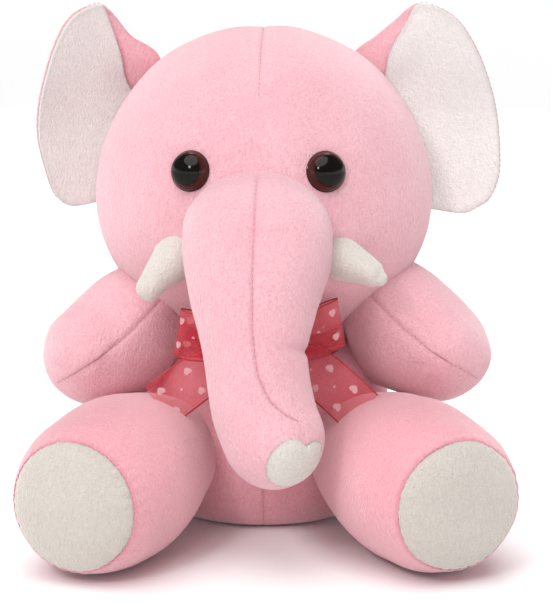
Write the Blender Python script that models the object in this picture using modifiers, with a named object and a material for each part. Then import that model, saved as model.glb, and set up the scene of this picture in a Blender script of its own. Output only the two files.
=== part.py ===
"""A seated plush elephant, 27 cm tall: fabric bags around stuffing, sewn together at their roots.

The toy faces -Y and sits on its flat seat at the origin. Left and right are the toy's own, so
"left" is +X. Each limb starts in a ball around its own sewing point, and its neighbour has a hollow
around the same centre, so that it can swing there.
"""
import math

import bmesh
import bpy
from mathutils import Matrix, Vector
from mathutils.geometry import interpolate_bezier

# Clearances
GAP = 0.0003                # between pieces that touch
SWING_GAP = 0.0014          # around a ball that turns
STUFFING_GAP = 0.0012       # between a bag's fabric and its stuffing
EAR_GAP = 0.0030            # between the head and the edge of an ear, which flaps

# Pile fabric, with its backing
FABRIC = 0.0022

# Torso: a pear with a flat seat
TORSO_HEIGHT = 0.098
BELLY_RADIUS = 0.0665       # side to side, at its widest
BELLY_DEPTH = 0.0605        # front to back, at its widest
SEAT_RADIUS = 0.0500

# Neck: the stuffing that fills both neck holes
NECK_RADIUS = 0.034
NECK_HEIGHT = TORSO_HEIGHT + 0.002
HEAD_TURN = math.radians(-2.0)

# Head
HEAD_RADIUS = 0.0895        # side to side
HEAD_DEPTH = 0.0800         # front to back
HEAD_CROWN = 0.0905         # from the widest level up
HEAD_CHIN = 0.0785          # from the widest level down
CHIN_SINK = 0.0079          # how far the chin is pressed below the middle of the neck
HEAD_CENTRE_HEIGHT = NECK_HEIGHT - CHIN_SINK + HEAD_CHIN

# Eyes: moulded domes on posts, held by washers inside the head, above the root of the trunk
TRUNK_ROOT_RADIUS = 0.038
EYE_RADIUS = 0.0105
EYE_DOME = 0.0078
EYE_SIDE = TRUNK_ROOT_RADIUS - 0.0035     # from the middle of the face
EYE_RISE = TRUNK_ROOT_RADIUS - 0.0145     # above the head's widest level
EYE_SINK = 0.0010           # how deep the dome sits in the pile
POST_RADIUS = 0.0025
POST_LENGTH = 0.0110
WASHER_RADIUS = 0.0080
WASHER_THICKNESS = 0.0015

# Trunk: it leaves the face in a ball, hangs down and ends to the toy's left
TRUNK_ROOT_DEPTH = HEAD_DEPTH - 0.018     # in front of the middle of the head
TRUNK_ROOT_DROP = 0.0106    # below the head's widest level
TRUNK_RADIUS = 0.0255
TRUNK_REACH = 0.056         # from its root to its end, forward
TRUNK_DROP = 0.091          # from its root to its end, down
TRUNK_SIDE = 0.0095         # from its root to its end, to the left
TRUNK_BEND_SHARE = 0.56     # where it curls, along its centre line
TIP_PATCH_RADIUS = 0.0160

# Tusks
TUSK_LENGTH = 0.0285
TUSK_RADIUS = 0.0110
TUSK_SIDE = TRUNK_ROOT_RADIUS + 0.005
TUSK_DROP = 0.0240

# Ears: two panels each, sewn to the side of the head
EAR_THICKNESS = 0.0070
EAR_HEIGHT = 0.108
EAR_WIDTH = 0.054
EAR_ROOT_LOW = Vector((HEAD_RADIUS - 0.0065, 0.010, 0.0))
EAR_ROOT_HIGH = Vector((HEAD_RADIUS - 0.0295, 0.010, HEAD_CROWN - 0.0245))
EAR_FORWARD = {"left": math.radians(10), "right": math.radians(28)}

# Arms
ARM_ROOT = Vector((BELLY_RADIUS - 0.0085, -0.017, TORSO_HEIGHT - 0.012))
ARM_DIRECTION = Vector((0.0335, -0.0270, 0.0105)).normalized()
ARM_LENGTH = 0.070          # from the shoulder to the end of the paw
ARM_ROOT_RADIUS = 0.017
PAW_RADIUS = 0.0260

# Legs
LEG_RADIUS = TORSO_HEIGHT / 2.0 - 0.0085  # the thigh, which also is the height of the leg's centre line
LEG_ROOT_RADIUS = LEG_RADIUS - 0.0115
LEG_SIDE = BELLY_RADIUS - 0.018
LEG_FRONT = BELLY_DEPTH - 0.0173
LEG_SPLAY = {"left": math.radians(26), "right": math.radians(24)}
LEG_LENGTH = 0.113          # from the hip to the middle of the sole
SOLE_RADIUS = LEG_RADIUS - 0.0065
SOLE_DOME = 0.0090

# Ribbon bow
RIBBON = 0.0008             # thickness of a ply, with its hems
RIBBON_WIDTH = 0.025
BAND_WIDTH = 0.0060         # the ribbon where it is gathered around the neck
BAND_THICKNESS = 0.0016
BAND_SLOPE = math.radians(41)
BAND_HEIGHT = TORSO_HEIGHT - 0.0035
BAND_RADIUS = 0.0405        # to each side
BAND_FRONT = 0.0575         # to the knot
BAND_BACK = 0.0375
KNOT_SIZE = Vector((0.014, 0.007, 0.014))
KNOT_SIDE = -0.003
KNOT_RISE = 0.0050          # above the band
LOOP_LENGTH = 0.038
LOOP_DEPTH = 0.0085
LOOP_RISE = math.radians(10)
BOW_TAIL_LENGTH = 0.042
BOW_TAIL_DROP = math.radians(13)

# Tail
TAIL_ROOT_HEIGHT = 0.030
TAIL_ROOT_RADIUS = 0.0070
TAIL_LENGTH = 0.034

SIDES = {"left": 1.0, "right": -1.0}


def clear_scene():
    """Empty the scene, so that the model stands alone."""
    for item in list(bpy.data.objects):
        bpy.data.objects.remove(item)


def new_collection(name):
    """A collection in the scene."""
    collection = bpy.data.collections.new(name)
    bpy.context.scene.collection.children.link(collection)
    return collection


def new_material(name, colour, roughness):
    """A plain Principled BSDF."""
    material = bpy.data.materials.new(name)
    material.use_nodes = True
    shader = material.node_tree.nodes["Principled BSDF"]
    shader.inputs["Base Color"].default_value = (*colour, 1.0)
    shader.inputs["Roughness"].default_value = roughness
    shader.inputs["Metallic"].default_value = 0.0
    material.diffuse_color = (*colour, 1.0)
    return material


clear_scene()
ELEPHANT = new_collection("stuffed_elephant")
CUTTERS = new_collection("cutters")


# ---- Building blocks -----------------------------------------------------------------------------

def add_piece(name, mesh, colour, roughness, parent, matrix=None):
    """A sub-part with a material of its own, placed under its parent."""
    piece = bpy.data.objects.new(name, mesh)
    mesh.materials.append(new_material(name, colour, roughness))
    ELEPHANT.objects.link(piece)
    piece.parent = parent
    if matrix is not None:
        piece.matrix_local = matrix
    return piece


def add_pivot(name, location, parent=None):
    """An empty on a joint's centre."""
    pivot = bpy.data.objects.new(name, None)
    pivot.empty_display_size = 0.01
    pivot.location = location
    pivot.parent = parent
    ELEPHANT.objects.link(pivot)
    return pivot


def add_cutter(name, mesh, parent=None, matrix=None):
    """A solid that only cuts others."""
    cutter = bpy.data.objects.new(name, mesh)
    CUTTERS.objects.link(cutter)
    cutter.parent = parent
    if matrix is not None:
        cutter.matrix_local = matrix
    cutter.hide_render = True
    cutter.display_type = "WIRE"
    return cutter


def cut(piece, cutter, operation="DIFFERENCE"):
    """Take the cutter away from the piece, or keep only what lies in it."""
    boolean = piece.modifiers.new(f"{operation.lower()} {cutter.name}", "BOOLEAN")
    boolean.operation = operation
    boolean.object = cutter


def ball_mesh(name, radius, segments=16):
    """A sphere around the origin."""
    mesh = bpy.data.meshes.new(name)
    shape = bmesh.new()
    bmesh.ops.create_uvsphere(shape, u_segments=segments, v_segments=segments // 2, radius=radius)
    shape.to_mesh(mesh)
    shape.free()
    mesh.shade_smooth()
    return mesh


def cylinder_mesh(name, radius, low, high, segments=24):
    """A cylinder along Z from low to high."""
    mesh = bpy.data.meshes.new(name)
    shape = bmesh.new()
    middle = Matrix.Translation((0.0, 0.0, (low + high) / 2.0))
    bmesh.ops.create_cone(shape, cap_ends=True, segments=segments, radius1=radius, radius2=radius,
                          depth=high - low, matrix=middle)
    shape.to_mesh(mesh)
    shape.free()
    return mesh


def bag_mesh(name, stations, place, segments, open_root=False):
    """A sphere whose rings are moved to the stations of a bag, each a pair of distance and radius.

    place turns a distance, a radius and an angle into a point. The root can be left open.
    """
    rings = len(stations) - 1
    mesh = bpy.data.meshes.new(name)
    shape = bmesh.new()
    bmesh.ops.create_uvsphere(shape, u_segments=segments, v_segments=rings, radius=1.0)
    root = []
    for vertex in shape.verts:
        height = max(-1.0, min(1.0, -vertex.co.z))
        ring = round(math.acos(height) * rings / math.pi)
        angle = math.atan2(vertex.co.y, vertex.co.x)
        distance, radius = stations[ring]
        vertex.co = place(distance, radius, angle)
        if ring == 0:
            root.append(vertex)
    if shape.calc_volume(signed=True) < 0.0:
        bmesh.ops.reverse_faces(shape, faces=shape.faces)
    if open_root:
        bmesh.ops.delete(shape, geom=root, context="VERTS")
    shape.to_mesh(mesh)
    shape.free()
    mesh.shade_smooth()
    return mesh


def straight(flatten=1.0):
    """Bag points around the Z axis, with the Y radius as a share of the X radius."""
    def place(distance, radius, angle):
        return Vector((radius * math.cos(angle), flatten * radius * math.sin(angle), distance))
    return place


def add_skin(name, stations, place, segments, colour, parent, matrix=None):
    """A fabric bag of one thickness, open at its root."""
    mesh = bag_mesh(name, stations, place, segments, open_root=True)
    skin = add_piece(name, mesh, colour, 0.9, parent, matrix)
    shell = skin.modifiers.new("fabric", "SOLIDIFY")
    shell.thickness = FABRIC
    shell.offset = -1.0
    return skin


def add_stuffing(name, stations, place, segments, parent, matrix=None):
    """The filling of a bag, clear of the fabric's inner face."""
    mesh = bag_mesh(name, stations, place, segments)
    stuffing = add_piece(name, mesh, STUFFING_WHITE, 1.0, parent, matrix)
    inset = stuffing.modifiers.new("inset", "DISPLACE")
    inset.direction = "NORMAL"
    inset.mid_level = 0.0
    inset.strength = -(FABRIC + STUFFING_GAP)
    return stuffing


def quarter_turns(steps):
    """Even steps over a quarter of a turn."""
    return [math.pi / 2.0 * step / steps for step in range(steps + 1)]


def limb_stations(root_radius, body, end_length):
    """From the pole of the root ball, along the body's stations, to a rounded end."""
    quarter = quarter_turns(4)
    root = [(-root_radius * math.cos(turn), root_radius * math.sin(turn)) for turn in quarter]
    end_distance, end_radius = body[-1]
    end = [(end_distance + end_length * math.sin(turn), end_radius * math.cos(turn))
           for turn in quarter[1:]]
    return root + body + end


def pointing(direction):
    """The turn that brings Z onto a direction, with Y as near to straight up as it can be."""
    return direction.to_track_quat("Z", "Y").to_matrix().to_4x4()


def mirrored(vector, side):
    """A vector for the left side, taken to the given side."""
    return Vector((side * vector.x, vector.y, vector.z))


PINK = (0.83, 0.42, 0.47)
DEEP_PINK = (0.80, 0.36, 0.42)
PLUSH_WHITE = (0.74, 0.70, 0.66)
STUFFING_WHITE = (0.85, 0.85, 0.83)
RIBBON_RED = (0.62, 0.05, 0.07)
EYE_BLACK = (0.012, 0.007, 0.006)


# ---- Torso ---------------------------------------------------------------------------------------

TORSO_OUTLINE = (           # shares of the height and of the belly radius, above the seat
    (0.05, 0.85), (0.16, 0.94), (0.32, 0.995), (0.48, 1.0), (0.64, 0.95), (0.78, 0.84),
    (0.88, 0.70), (0.945, 0.53), (0.985, 0.30), (1.0, 0.0))


def torso_stations():
    """The seat's flat rings, then the outline above it."""
    seat = [(0.0, 0.0), (0.0, 0.6 * SEAT_RADIUS), (0.0, SEAT_RADIUS)]
    return seat + [(TORSO_HEIGHT * height, BELLY_RADIUS * radius) for height, radius in TORSO_OUTLINE]


def add_torso():
    """The torso's skin, open at the neck, and its stuffing, with hollows for what swings in them."""
    upside_down = Matrix.Rotation(math.pi, 4, "X") @ Matrix.Translation((0.0, 0.0, -TORSO_HEIGHT))
    stations = [(TORSO_HEIGHT - height, radius) for height, radius in reversed(torso_stations())]
    place = straight(BELLY_DEPTH / BELLY_RADIUS)
    skin = add_skin("torso_skin", stations, place, 24, DEEP_PINK, None, upside_down)
    stuffing = add_stuffing("torso_stuffing", stations, place, 18, None, upside_down)
    return skin, stuffing


def add_neck(torso_pieces):
    """The neck stuffing, which the head turns and nods on, and the hollow it makes in the torso."""
    pivot = add_pivot("neck_pivot", (0.0, 0.0, NECK_HEIGHT))
    add_piece("neck_stuffing", ball_mesh("neck_stuffing", NECK_RADIUS, 18), STUFFING_WHITE, 1.0, pivot)
    hollow = add_cutter("neck_hollow", ball_mesh("neck_hollow", NECK_RADIUS + SWING_GAP), pivot)
    for piece in torso_pieces:
        cut(piece, hollow)
    return hollow


# ---- Head ----------------------------------------------------------------------------------------

def head_stations(growth=0.0):
    """Chin to crown, as two half ovals that meet at the widest level."""
    rings = 14
    stations = []
    for ring in range(rings + 1):
        turn = math.pi * ring / rings
        height = HEAD_CHIN if turn < math.pi / 2.0 else HEAD_CROWN
        stations.append((-(height + growth) * math.cos(turn), (HEAD_RADIUS + growth) * math.sin(turn)))
    return stations


def head_surface(side, rise):
    """The point of the face at a side distance and a rise, and the direction out of it."""
    height = HEAD_CROWN if rise > 0.0 else HEAD_CHIN
    share = 1.0 - (side / HEAD_RADIUS) ** 2 - (rise / height) ** 2
    point = Vector((side, -HEAD_DEPTH * math.sqrt(share), rise))
    outward = Vector((side / HEAD_RADIUS ** 2, point.y / HEAD_DEPTH ** 2, rise / height ** 2))
    return point, outward.normalized()


def add_head(neck_hollow):
    """The head's skin and stuffing around its middle, turned a little on the neck."""
    pivot = add_pivot("head_pivot", (0.0, 0.0, NECK_HEIGHT))
    pivot.rotation_euler.z = HEAD_TURN
    middle = add_pivot("head_middle", (0.0, 0.0, HEAD_CENTRE_HEIGHT - NECK_HEIGHT), pivot)
    place = straight(HEAD_DEPTH / HEAD_RADIUS)
    skin = add_skin("head_skin", head_stations(), place, 24, PINK, middle)
    stuffing = add_stuffing("head_stuffing", head_stations(), place, 24, middle)
    for piece in (skin, stuffing):
        cut(piece, neck_hollow)
    return middle, skin, stuffing


def eye_mesh(name):
    """A dome and its post, turned from one profile."""
    profile = [(EYE_RADIUS * math.sin(turn), EYE_DOME * math.cos(turn)) for turn in quarter_turns(5)]
    profile += [(POST_RADIUS, 0.0), (POST_RADIUS, -POST_LENGTH), (0.0, -POST_LENGTH)]
    mesh = bpy.data.meshes.new(name)
    edges = [(index, index + 1) for index in range(len(profile) - 1)]
    mesh.from_pydata([(x, 0.0, z) for x, z in profile], edges, [])
    return mesh


def add_eyes(middle, skin, stuffing):
    """Both eyes, their washers inside the head, and the holes for them."""
    for side_name, side in SIDES.items():
        point, outward = head_surface(side * EYE_SIDE, EYE_RISE)
        seat = Matrix.Translation(point - EYE_SINK * outward) @ pointing(outward)
        eye_name = f"eye_{side_name}"
        eye = add_piece(eye_name, eye_mesh(eye_name), EYE_BLACK, 0.05, middle, seat)
        turned = eye.modifiers.new("turned", "SCREW")
        turned.steps = 18
        turned.render_steps = 18
        turned.merge_threshold = 0.00001
        turned.use_merge_vertices = True
        washer_top = -FABRIC - 2.0 * GAP
        washer_low = washer_top - WASHER_THICKNESS
        washer_name = f"eye_washer_{side_name}"
        washer_mesh = cylinder_mesh(washer_name, WASHER_RADIUS, washer_low, washer_top, 20)
        washer = add_piece(washer_name, washer_mesh, STUFFING_WHITE, 0.4, middle, seat)
        hole_mesh = cylinder_mesh(f"post_hole_{side_name}", POST_RADIUS + GAP, -2.0 * POST_LENGTH, EYE_DOME, 16)
        hole = add_cutter(hole_mesh.name, hole_mesh, middle, seat)
        dent_mesh = cylinder_mesh(f"eye_dent_{side_name}", EYE_RADIUS + GAP, -GAP, EYE_DOME)
        dent = add_cutter(dent_mesh.name, dent_mesh, middle, seat)
        room_mesh = cylinder_mesh(f"washer_room_{side_name}", WASHER_RADIUS + GAP, washer_low - GAP, EYE_DOME, 20)
        room = add_cutter(room_mesh.name, room_mesh, middle, seat)
        cut(washer, hole)
        cut(skin, hole)
        cut(skin, dent)
        cut(stuffing, room)
        cut(stuffing, hole)


# ---- Trunk ---------------------------------------------------------------------------------------

TRUNK_OUTLINE = (           # share of the way to the bend, share of the taper still to come
    (0.29, 0.60), (0.50, 0.50), (0.70, 0.26), (0.86, 0.08))


def trunk_point(share):
    """Centre and frame of the trunk at a share of its length, from its root ball's centre."""
    end = Vector((TRUNK_SIDE, -TRUNK_REACH, -TRUNK_DROP))
    handle_root = Vector((0.0, -0.9 * TRUNK_REACH, -0.24 * TRUNK_DROP))
    handle_end = Vector((-0.4 * TRUNK_SIDE, -0.82 * TRUNK_REACH, -0.72 * TRUNK_DROP))
    steps = 100
    line = interpolate_bezier(Vector((0.0, 0.0, 0.0)), handle_root, handle_end, end, steps + 1)
    place = min(share, 1.0) * steps
    low = min(int(place), steps - 1)
    tangent = (line[low + 1] - line[low]).normalized()
    centre = line[low].lerp(line[low + 1], place - low)
    side = Vector((1.0, 0.0, 0.0))
    side = (side - side.dot(tangent) * tangent).normalized()
    return centre, tangent, side, tangent.cross(side)


def trunk_place(start=0.0, origin=Vector((0.0, 0.0, 0.0))):
    """A placing function for trunk bags, seen from an origin.

    A distance is a share of the centre line, or metres back from start where it is below 0, or 1 and
    the metres past the end.
    """
    def place(share, radius, angle):
        centre, tangent, side, back = trunk_point(start if share <= 0.0 else share)
        past = share if share <= 0.0 else max(share - 1.0, 0.0)
        offset = radius * (math.cos(angle) * side + math.sin(angle) * back)
        return centre - origin + past * tangent + offset
    return place


def add_trunk(middle, skin, stuffing):
    """The upper trunk in its hollow of the face, and the lower trunk that curls on it."""
    root = add_pivot("trunk_pivot", (0.0, -TRUNK_ROOT_DEPTH, -TRUNK_ROOT_DROP), middle)
    hollow_mesh = ball_mesh("trunk_hollow", TRUNK_ROOT_RADIUS + SWING_GAP, 24)
    hollow = add_cutter("trunk_hollow", hollow_mesh, root)
    cut(skin, hollow)
    cut(stuffing, hollow)

    taper = TRUNK_ROOT_RADIUS - TRUNK_RADIUS
    quarter = quarter_turns(4)
    upper = [(-TRUNK_ROOT_RADIUS * math.cos(turn), TRUNK_ROOT_RADIUS * math.sin(turn)) for turn in quarter]
    upper += [(TRUNK_BEND_SHARE * share, TRUNK_RADIUS + taper * left) for share, left in TRUNK_OUTLINE]
    upper.append((TRUNK_BEND_SHARE * TRUNK_OUTLINE[-1][0] + 0.02, 0.0))
    place = trunk_place()
    upper_skin = add_skin("trunk_upper_skin", upper, place, 16, PINK, root)
    upper_stuffing = add_stuffing("trunk_upper_stuffing", upper, place, 14, root)

    bend_centre = trunk_point(TRUNK_BEND_SHARE)[0]
    bend = add_pivot("trunk_bend", bend_centre, root)
    bend_mesh = ball_mesh("trunk_bend_hollow", TRUNK_RADIUS + SWING_GAP)
    bend_hollow = add_cutter("trunk_bend_hollow", bend_mesh, bend)
    for piece in (upper_skin, upper_stuffing):
        cut(piece, bend_hollow)

    lower = lower_trunk_stations()
    place = trunk_place(TRUNK_BEND_SHARE, bend_centre)
    lower_skin = add_skin("trunk_lower_skin", lower, place, 16, PINK, bend)
    add_stuffing("trunk_lower_stuffing", lower, place, 14, bend)
    add_tip_patch(bend, bend_centre, lower_skin, lower, place)
    return hollow


def lower_trunk_stations():
    """A root ball around the bend, a straight run and a round end."""
    quarter = quarter_turns(4)
    root = [(-TRUNK_RADIUS * math.cos(turn), TRUNK_RADIUS * math.sin(turn)) for turn in quarter]
    run = [(TRUNK_BEND_SHARE + (1.0 - TRUNK_BEND_SHARE) * share, TRUNK_RADIUS) for share in (0.35, 0.7)]
    end = [(1.0 + TRUNK_RADIUS * math.sin(turn), TRUNK_RADIUS * math.cos(turn)) for turn in quarter]
    return root + run + end


def add_tip_patch(bend, bend_centre, lower_skin, stations, place):
    """The white patch of the trunk's end: the part of the bag's wall inside a ball."""
    end_centre = trunk_point(1.0)[0] - bend_centre
    patch_centre = end_centre + TRUNK_RADIUS * Vector((0.45, -0.78, -0.43)).normalized()
    matrix = Matrix.Translation(patch_centre)
    patch = add_skin("trunk_tip", stations, place, 16, PLUSH_WHITE, bend)
    inner = add_cutter("tip_outline", ball_mesh("tip_outline", TIP_PATCH_RADIUS, 20), bend, matrix)
    outer_mesh = ball_mesh("tip_hole", TIP_PATCH_RADIUS + GAP, 20)
    outer = add_cutter("tip_hole", outer_mesh, bend, matrix)
    cut(patch, inner, "INTERSECT")
    cut(lower_skin, outer)


# ---- Tusks ---------------------------------------------------------------------------------------

TUSK_DIRECTIONS = {
    "left": Vector((0.80, -0.50, -0.25)).normalized(),
    "right": Vector((-0.60, -0.50, -0.55)).normalized(),
}


def add_tusks(middle, trunk_hollow):
    """Two short cones on the face beside the trunk, each a skin and its stuffing."""
    head_room = bag_mesh("tusk_base", head_stations(GAP), straight(HEAD_DEPTH / HEAD_RADIUS), 24)
    head_cutter = add_cutter("tusk_base", head_room, middle)
    core_room = bag_mesh("tusk_core_base", head_stations(4.0 * GAP), straight(HEAD_DEPTH / HEAD_RADIUS), 24)
    core_cutter = add_cutter("tusk_core_base", core_room, middle)
    body = [(0.30 * TUSK_LENGTH, 0.92 * TUSK_RADIUS), (0.60 * TUSK_LENGTH, 0.74 * TUSK_RADIUS),
            (0.84 * TUSK_LENGTH, 0.56 * TUSK_RADIUS)]
    stations = limb_stations(TUSK_RADIUS, body, 0.16 * TUSK_LENGTH)
    for side_name, side in SIDES.items():
        point, outward = head_surface(side * TUSK_SIDE, -TUSK_DROP)
        matrix = Matrix.Translation(point) @ pointing(TUSK_DIRECTIONS[side_name])
        skin = add_skin(f"tusk_{side_name}_skin", stations, straight(), 12, PLUSH_WHITE, middle, matrix)
        stuffing = add_stuffing(f"tusk_{side_name}_stuffing", stations, straight(), 10, middle, matrix)
        cut(skin, head_cutter)
        cut(stuffing, core_cutter)
        cut(skin, trunk_hollow)
        cut(stuffing, trunk_hollow)


# ---- Ears ----------------------------------------------------------------------------------------

EAR_OUTLINE = (             # shares of the width out from the root line, and of the height up it
    (-0.20, 0.02), (0.20, -0.12), (0.62, -0.10), (0.90, 0.10), (1.00, 0.36), (0.92, 0.66),
    (0.62, 0.90), (0.22, 0.90), (-0.10, 0.74), (-0.30, 0.50))


def ear_panel_mesh(name, side):
    """An ear's outline as a filled curve, half as thick as the ear."""
    curve = bpy.data.curves.new(name, "CURVE")
    curve.dimensions = "2D"
    curve.fill_mode = "BOTH"
    curve.extrude = (EAR_THICKNESS - GAP) / 4.0
    curve.resolution_u = 3
    spline = curve.splines.new("BEZIER")
    spline.bezier_points.add(len(EAR_OUTLINE) - 1)
    for point, (out, up) in zip(spline.bezier_points, EAR_OUTLINE):
        point.co = (side * out * EAR_WIDTH, up * EAR_HEIGHT, 0.0)
        point.handle_left_type = "AUTO"
        point.handle_right_type = "AUTO"
    spline.use_cyclic_u = True
    holder = bpy.data.objects.new(name, curve)
    CUTTERS.objects.link(holder)
    graph = bpy.context.evaluated_depsgraph_get()
    mesh = bpy.data.meshes.new_from_object(holder.evaluated_get(graph))
    bpy.data.objects.remove(holder)
    shape = bmesh.new()
    shape.from_mesh(mesh)
    bmesh.ops.remove_doubles(shape, verts=shape.verts, dist=0.00001)
    bmesh.ops.recalc_face_normals(shape, faces=shape.faces)
    shape.to_mesh(mesh)
    shape.free()
    return mesh


def ear_frame(side, forward):
    """X to the outside, Y up the root line and Z to the front, swung forward on the root line."""
    low = mirrored(EAR_ROOT_LOW, side)
    up = (mirrored(EAR_ROOT_HIGH, side) - low).normalized()
    front = Vector((0.0, -1.0, 0.0))
    across = up.cross(front).normalized()
    turn = Matrix((across, up, front)).transposed().to_4x4()
    return low, turn @ Matrix.Rotation(-side * forward, 4, "Y")


def add_ears(middle):
    """Both ears: a white front panel and a pink back panel each, clear of the head."""
    room = bag_mesh("ear_room", head_stations(EAR_GAP), straight(HEAD_DEPTH / HEAD_RADIUS), 24)
    head_cutter = add_cutter("ear_room", room, middle)
    for side_name, side in SIDES.items():
        low, turn = ear_frame(side, EAR_FORWARD[side_name])
        pivot = add_pivot(f"ear_{side_name}_pivot", low, middle)
        step = (EAR_THICKNESS + GAP) / 4.0
        for panel, colour, shift in (("front", PLUSH_WHITE, step), ("back", DEEP_PINK, -step)):
            name = f"ear_{side_name}_{panel}"
            matrix = turn @ Matrix.Translation((0.0, 0.0, shift))
            piece = add_piece(name, ear_panel_mesh(name, side), colour, 0.9, pivot, matrix)
            cut(piece, head_cutter)


# ---- Arms and legs -------------------------------------------------------------------------------

def add_arms(torso_pieces):
    """Egg-shaped arms, thickest at the paw."""
    run = ARM_LENGTH - PAW_RADIUS
    body = [(0.28 * run, 0.5 * (ARM_ROOT_RADIUS + PAW_RADIUS)), (0.60 * run, 0.93 * PAW_RADIUS),
            (run, PAW_RADIUS)]
    stations = limb_stations(ARM_ROOT_RADIUS, body, PAW_RADIUS)
    for side_name, side in SIDES.items():
        pivot = add_pivot(f"arm_{side_name}_pivot", mirrored(ARM_ROOT, side))
        turn = pointing(mirrored(ARM_DIRECTION, side))
        add_skin(f"arm_{side_name}_skin", stations, straight(), 16, PINK, pivot, turn)
        add_stuffing(f"arm_{side_name}_stuffing", stations, straight(), 12, pivot, turn)
        hollow_mesh = ball_mesh(f"shoulder_hollow_{side_name}", ARM_ROOT_RADIUS + SWING_GAP)
        hollow = add_cutter(hollow_mesh.name, hollow_mesh, pivot)
        for piece in torso_pieces:
            cut(piece, hollow)


def leg_stations():
    """Hip ball, thigh, and the narrower foot with its domed sole."""
    foot = LEG_LENGTH - SOLE_DOME
    middle = (LEG_ROOT_RADIUS + LEG_RADIUS) / 2.0
    body = [(0.16 * foot, 0.5 * (LEG_ROOT_RADIUS + middle)), (0.32 * foot, 0.93 * LEG_RADIUS),
            (0.52 * foot, LEG_RADIUS), (0.72 * foot, 0.97 * LEG_RADIUS),
            (0.90 * foot, 0.5 * (SOLE_RADIUS + LEG_RADIUS)), (foot, SOLE_RADIUS)]
    return limb_stations(LEG_ROOT_RADIUS, body, SOLE_DOME)


def add_legs(torso_pieces):
    """Legs that lie on the floor and point forward and outward, each with a white sole."""
    stations = leg_stations()
    foot = LEG_LENGTH - SOLE_DOME
    for side_name, side in SIDES.items():
        hip = Vector((side * LEG_SIDE, -LEG_FRONT, LEG_RADIUS))
        pivot = add_pivot(f"leg_{side_name}_pivot", hip)
        splay = LEG_SPLAY[side_name]
        direction = Vector((side * math.sin(splay), -math.cos(splay), 0.0))
        turn = pointing(direction)
        skin = add_skin(f"leg_{side_name}_skin", stations, straight(), 20, DEEP_PINK, pivot, turn)
        sole = add_skin(f"leg_{side_name}_sole", stations, straight(), 20, PLUSH_WHITE, pivot, turn)
        add_stuffing(f"leg_{side_name}_stuffing", stations, straight(), 14, pivot, turn)
        leg_end = cylinder_mesh(f"leg_end_{side_name}", 2.0 * LEG_RADIUS, foot - GAP, 2.0 * LEG_LENGTH)
        sole_end = cylinder_mesh(f"sole_end_{side_name}", 2.0 * LEG_RADIUS, foot, 2.0 * LEG_LENGTH)
        cut(skin, add_cutter(leg_end.name, leg_end, pivot, turn))
        cut(sole, add_cutter(sole_end.name, sole_end, pivot, turn), "INTERSECT")
        hollow_mesh = ball_mesh(f"hip_hollow_{side_name}", LEG_ROOT_RADIUS + SWING_GAP)
        hollow = add_cutter(hollow_mesh.name, hollow_mesh, pivot)
        for piece in torso_pieces:
            cut(piece, hollow)


# ---- Tail ----------------------------------------------------------------------------------------

def add_tail(torso_pieces):
    """A small stuffed tail on the back, just above the seat."""
    outline = [(height * TORSO_HEIGHT, radius * BELLY_DEPTH) for height, radius in TORSO_OUTLINE]
    low = [point for point in outline if point[0] <= TAIL_ROOT_HEIGHT][-1]
    high = [point for point in outline if point[0] > TAIL_ROOT_HEIGHT][0]
    share = (TAIL_ROOT_HEIGHT - low[0]) / (high[0] - low[0])
    depth = low[1] + share * (high[1] - low[1])
    pivot = add_pivot("tail_pivot", (0.0, depth, TAIL_ROOT_HEIGHT))
    body = [(0.35 * TAIL_LENGTH, 0.85 * TAIL_ROOT_RADIUS), (0.80 * TAIL_LENGTH, 0.65 * TAIL_ROOT_RADIUS)]
    stations = limb_stations(TAIL_ROOT_RADIUS, body, 0.2 * TAIL_LENGTH)
    turn = pointing(Vector((0.0, 0.55, -0.60)).normalized())
    add_skin("tail_skin", stations, straight(), 10, PINK, pivot, turn)
    add_stuffing("tail_stuffing", stations, straight(), 8, pivot, turn)
    hollow_mesh = ball_mesh("tail_hollow", TAIL_ROOT_RADIUS + SWING_GAP, 20)
    hollow = add_cutter(hollow_mesh.name, hollow_mesh, pivot)
    for piece in torso_pieces:
        cut(piece, hollow)


# ---- Ribbon bow ----------------------------------------------------------------------------------

def add_neckband():
    """The ribbon around the neck, gathered to a narrow sloping band."""
    mesh = bpy.data.meshes.new("bow_neckband")
    shape = bmesh.new()
    across = BAND_WIDTH / 2.0 * math.cos(BAND_SLOPE)
    bmesh.ops.create_cone(shape, cap_ends=False, segments=36, radius1=BAND_RADIUS + across,
                          radius2=BAND_RADIUS - across, depth=BAND_WIDTH * math.sin(BAND_SLOPE))
    stretch = (BAND_FRONT + BAND_BACK) / (2.0 * BAND_RADIUS)
    bmesh.ops.scale(shape, vec=(1.0, stretch, 1.0), verts=shape.verts)
    shape.to_mesh(mesh)
    shape.free()
    mesh.shade_smooth()
    middle = Matrix.Translation((0.0, (BAND_BACK - BAND_FRONT) / 2.0, BAND_HEIGHT))
    band = add_piece("bow_neckband", mesh, RIBBON_RED, 0.45, None, middle)
    shell = band.modifiers.new("plies", "SOLIDIFY")
    shell.thickness = BAND_THICKNESS
    shell.offset = 0.0


def knot_centre():
    """Just in front of the band's lower edge."""
    lower_edge = BAND_WIDTH / 2.0 * math.cos(BAND_SLOPE) * (BAND_FRONT + BAND_BACK) / (2.0 * BAND_RADIUS)
    band_face = BAND_FRONT + lower_edge + BAND_THICKNESS / 2.0
    return Vector((KNOT_SIDE, -(band_face + GAP + KNOT_SIZE.y / 2.0), BAND_HEIGHT + KNOT_RISE))


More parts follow.
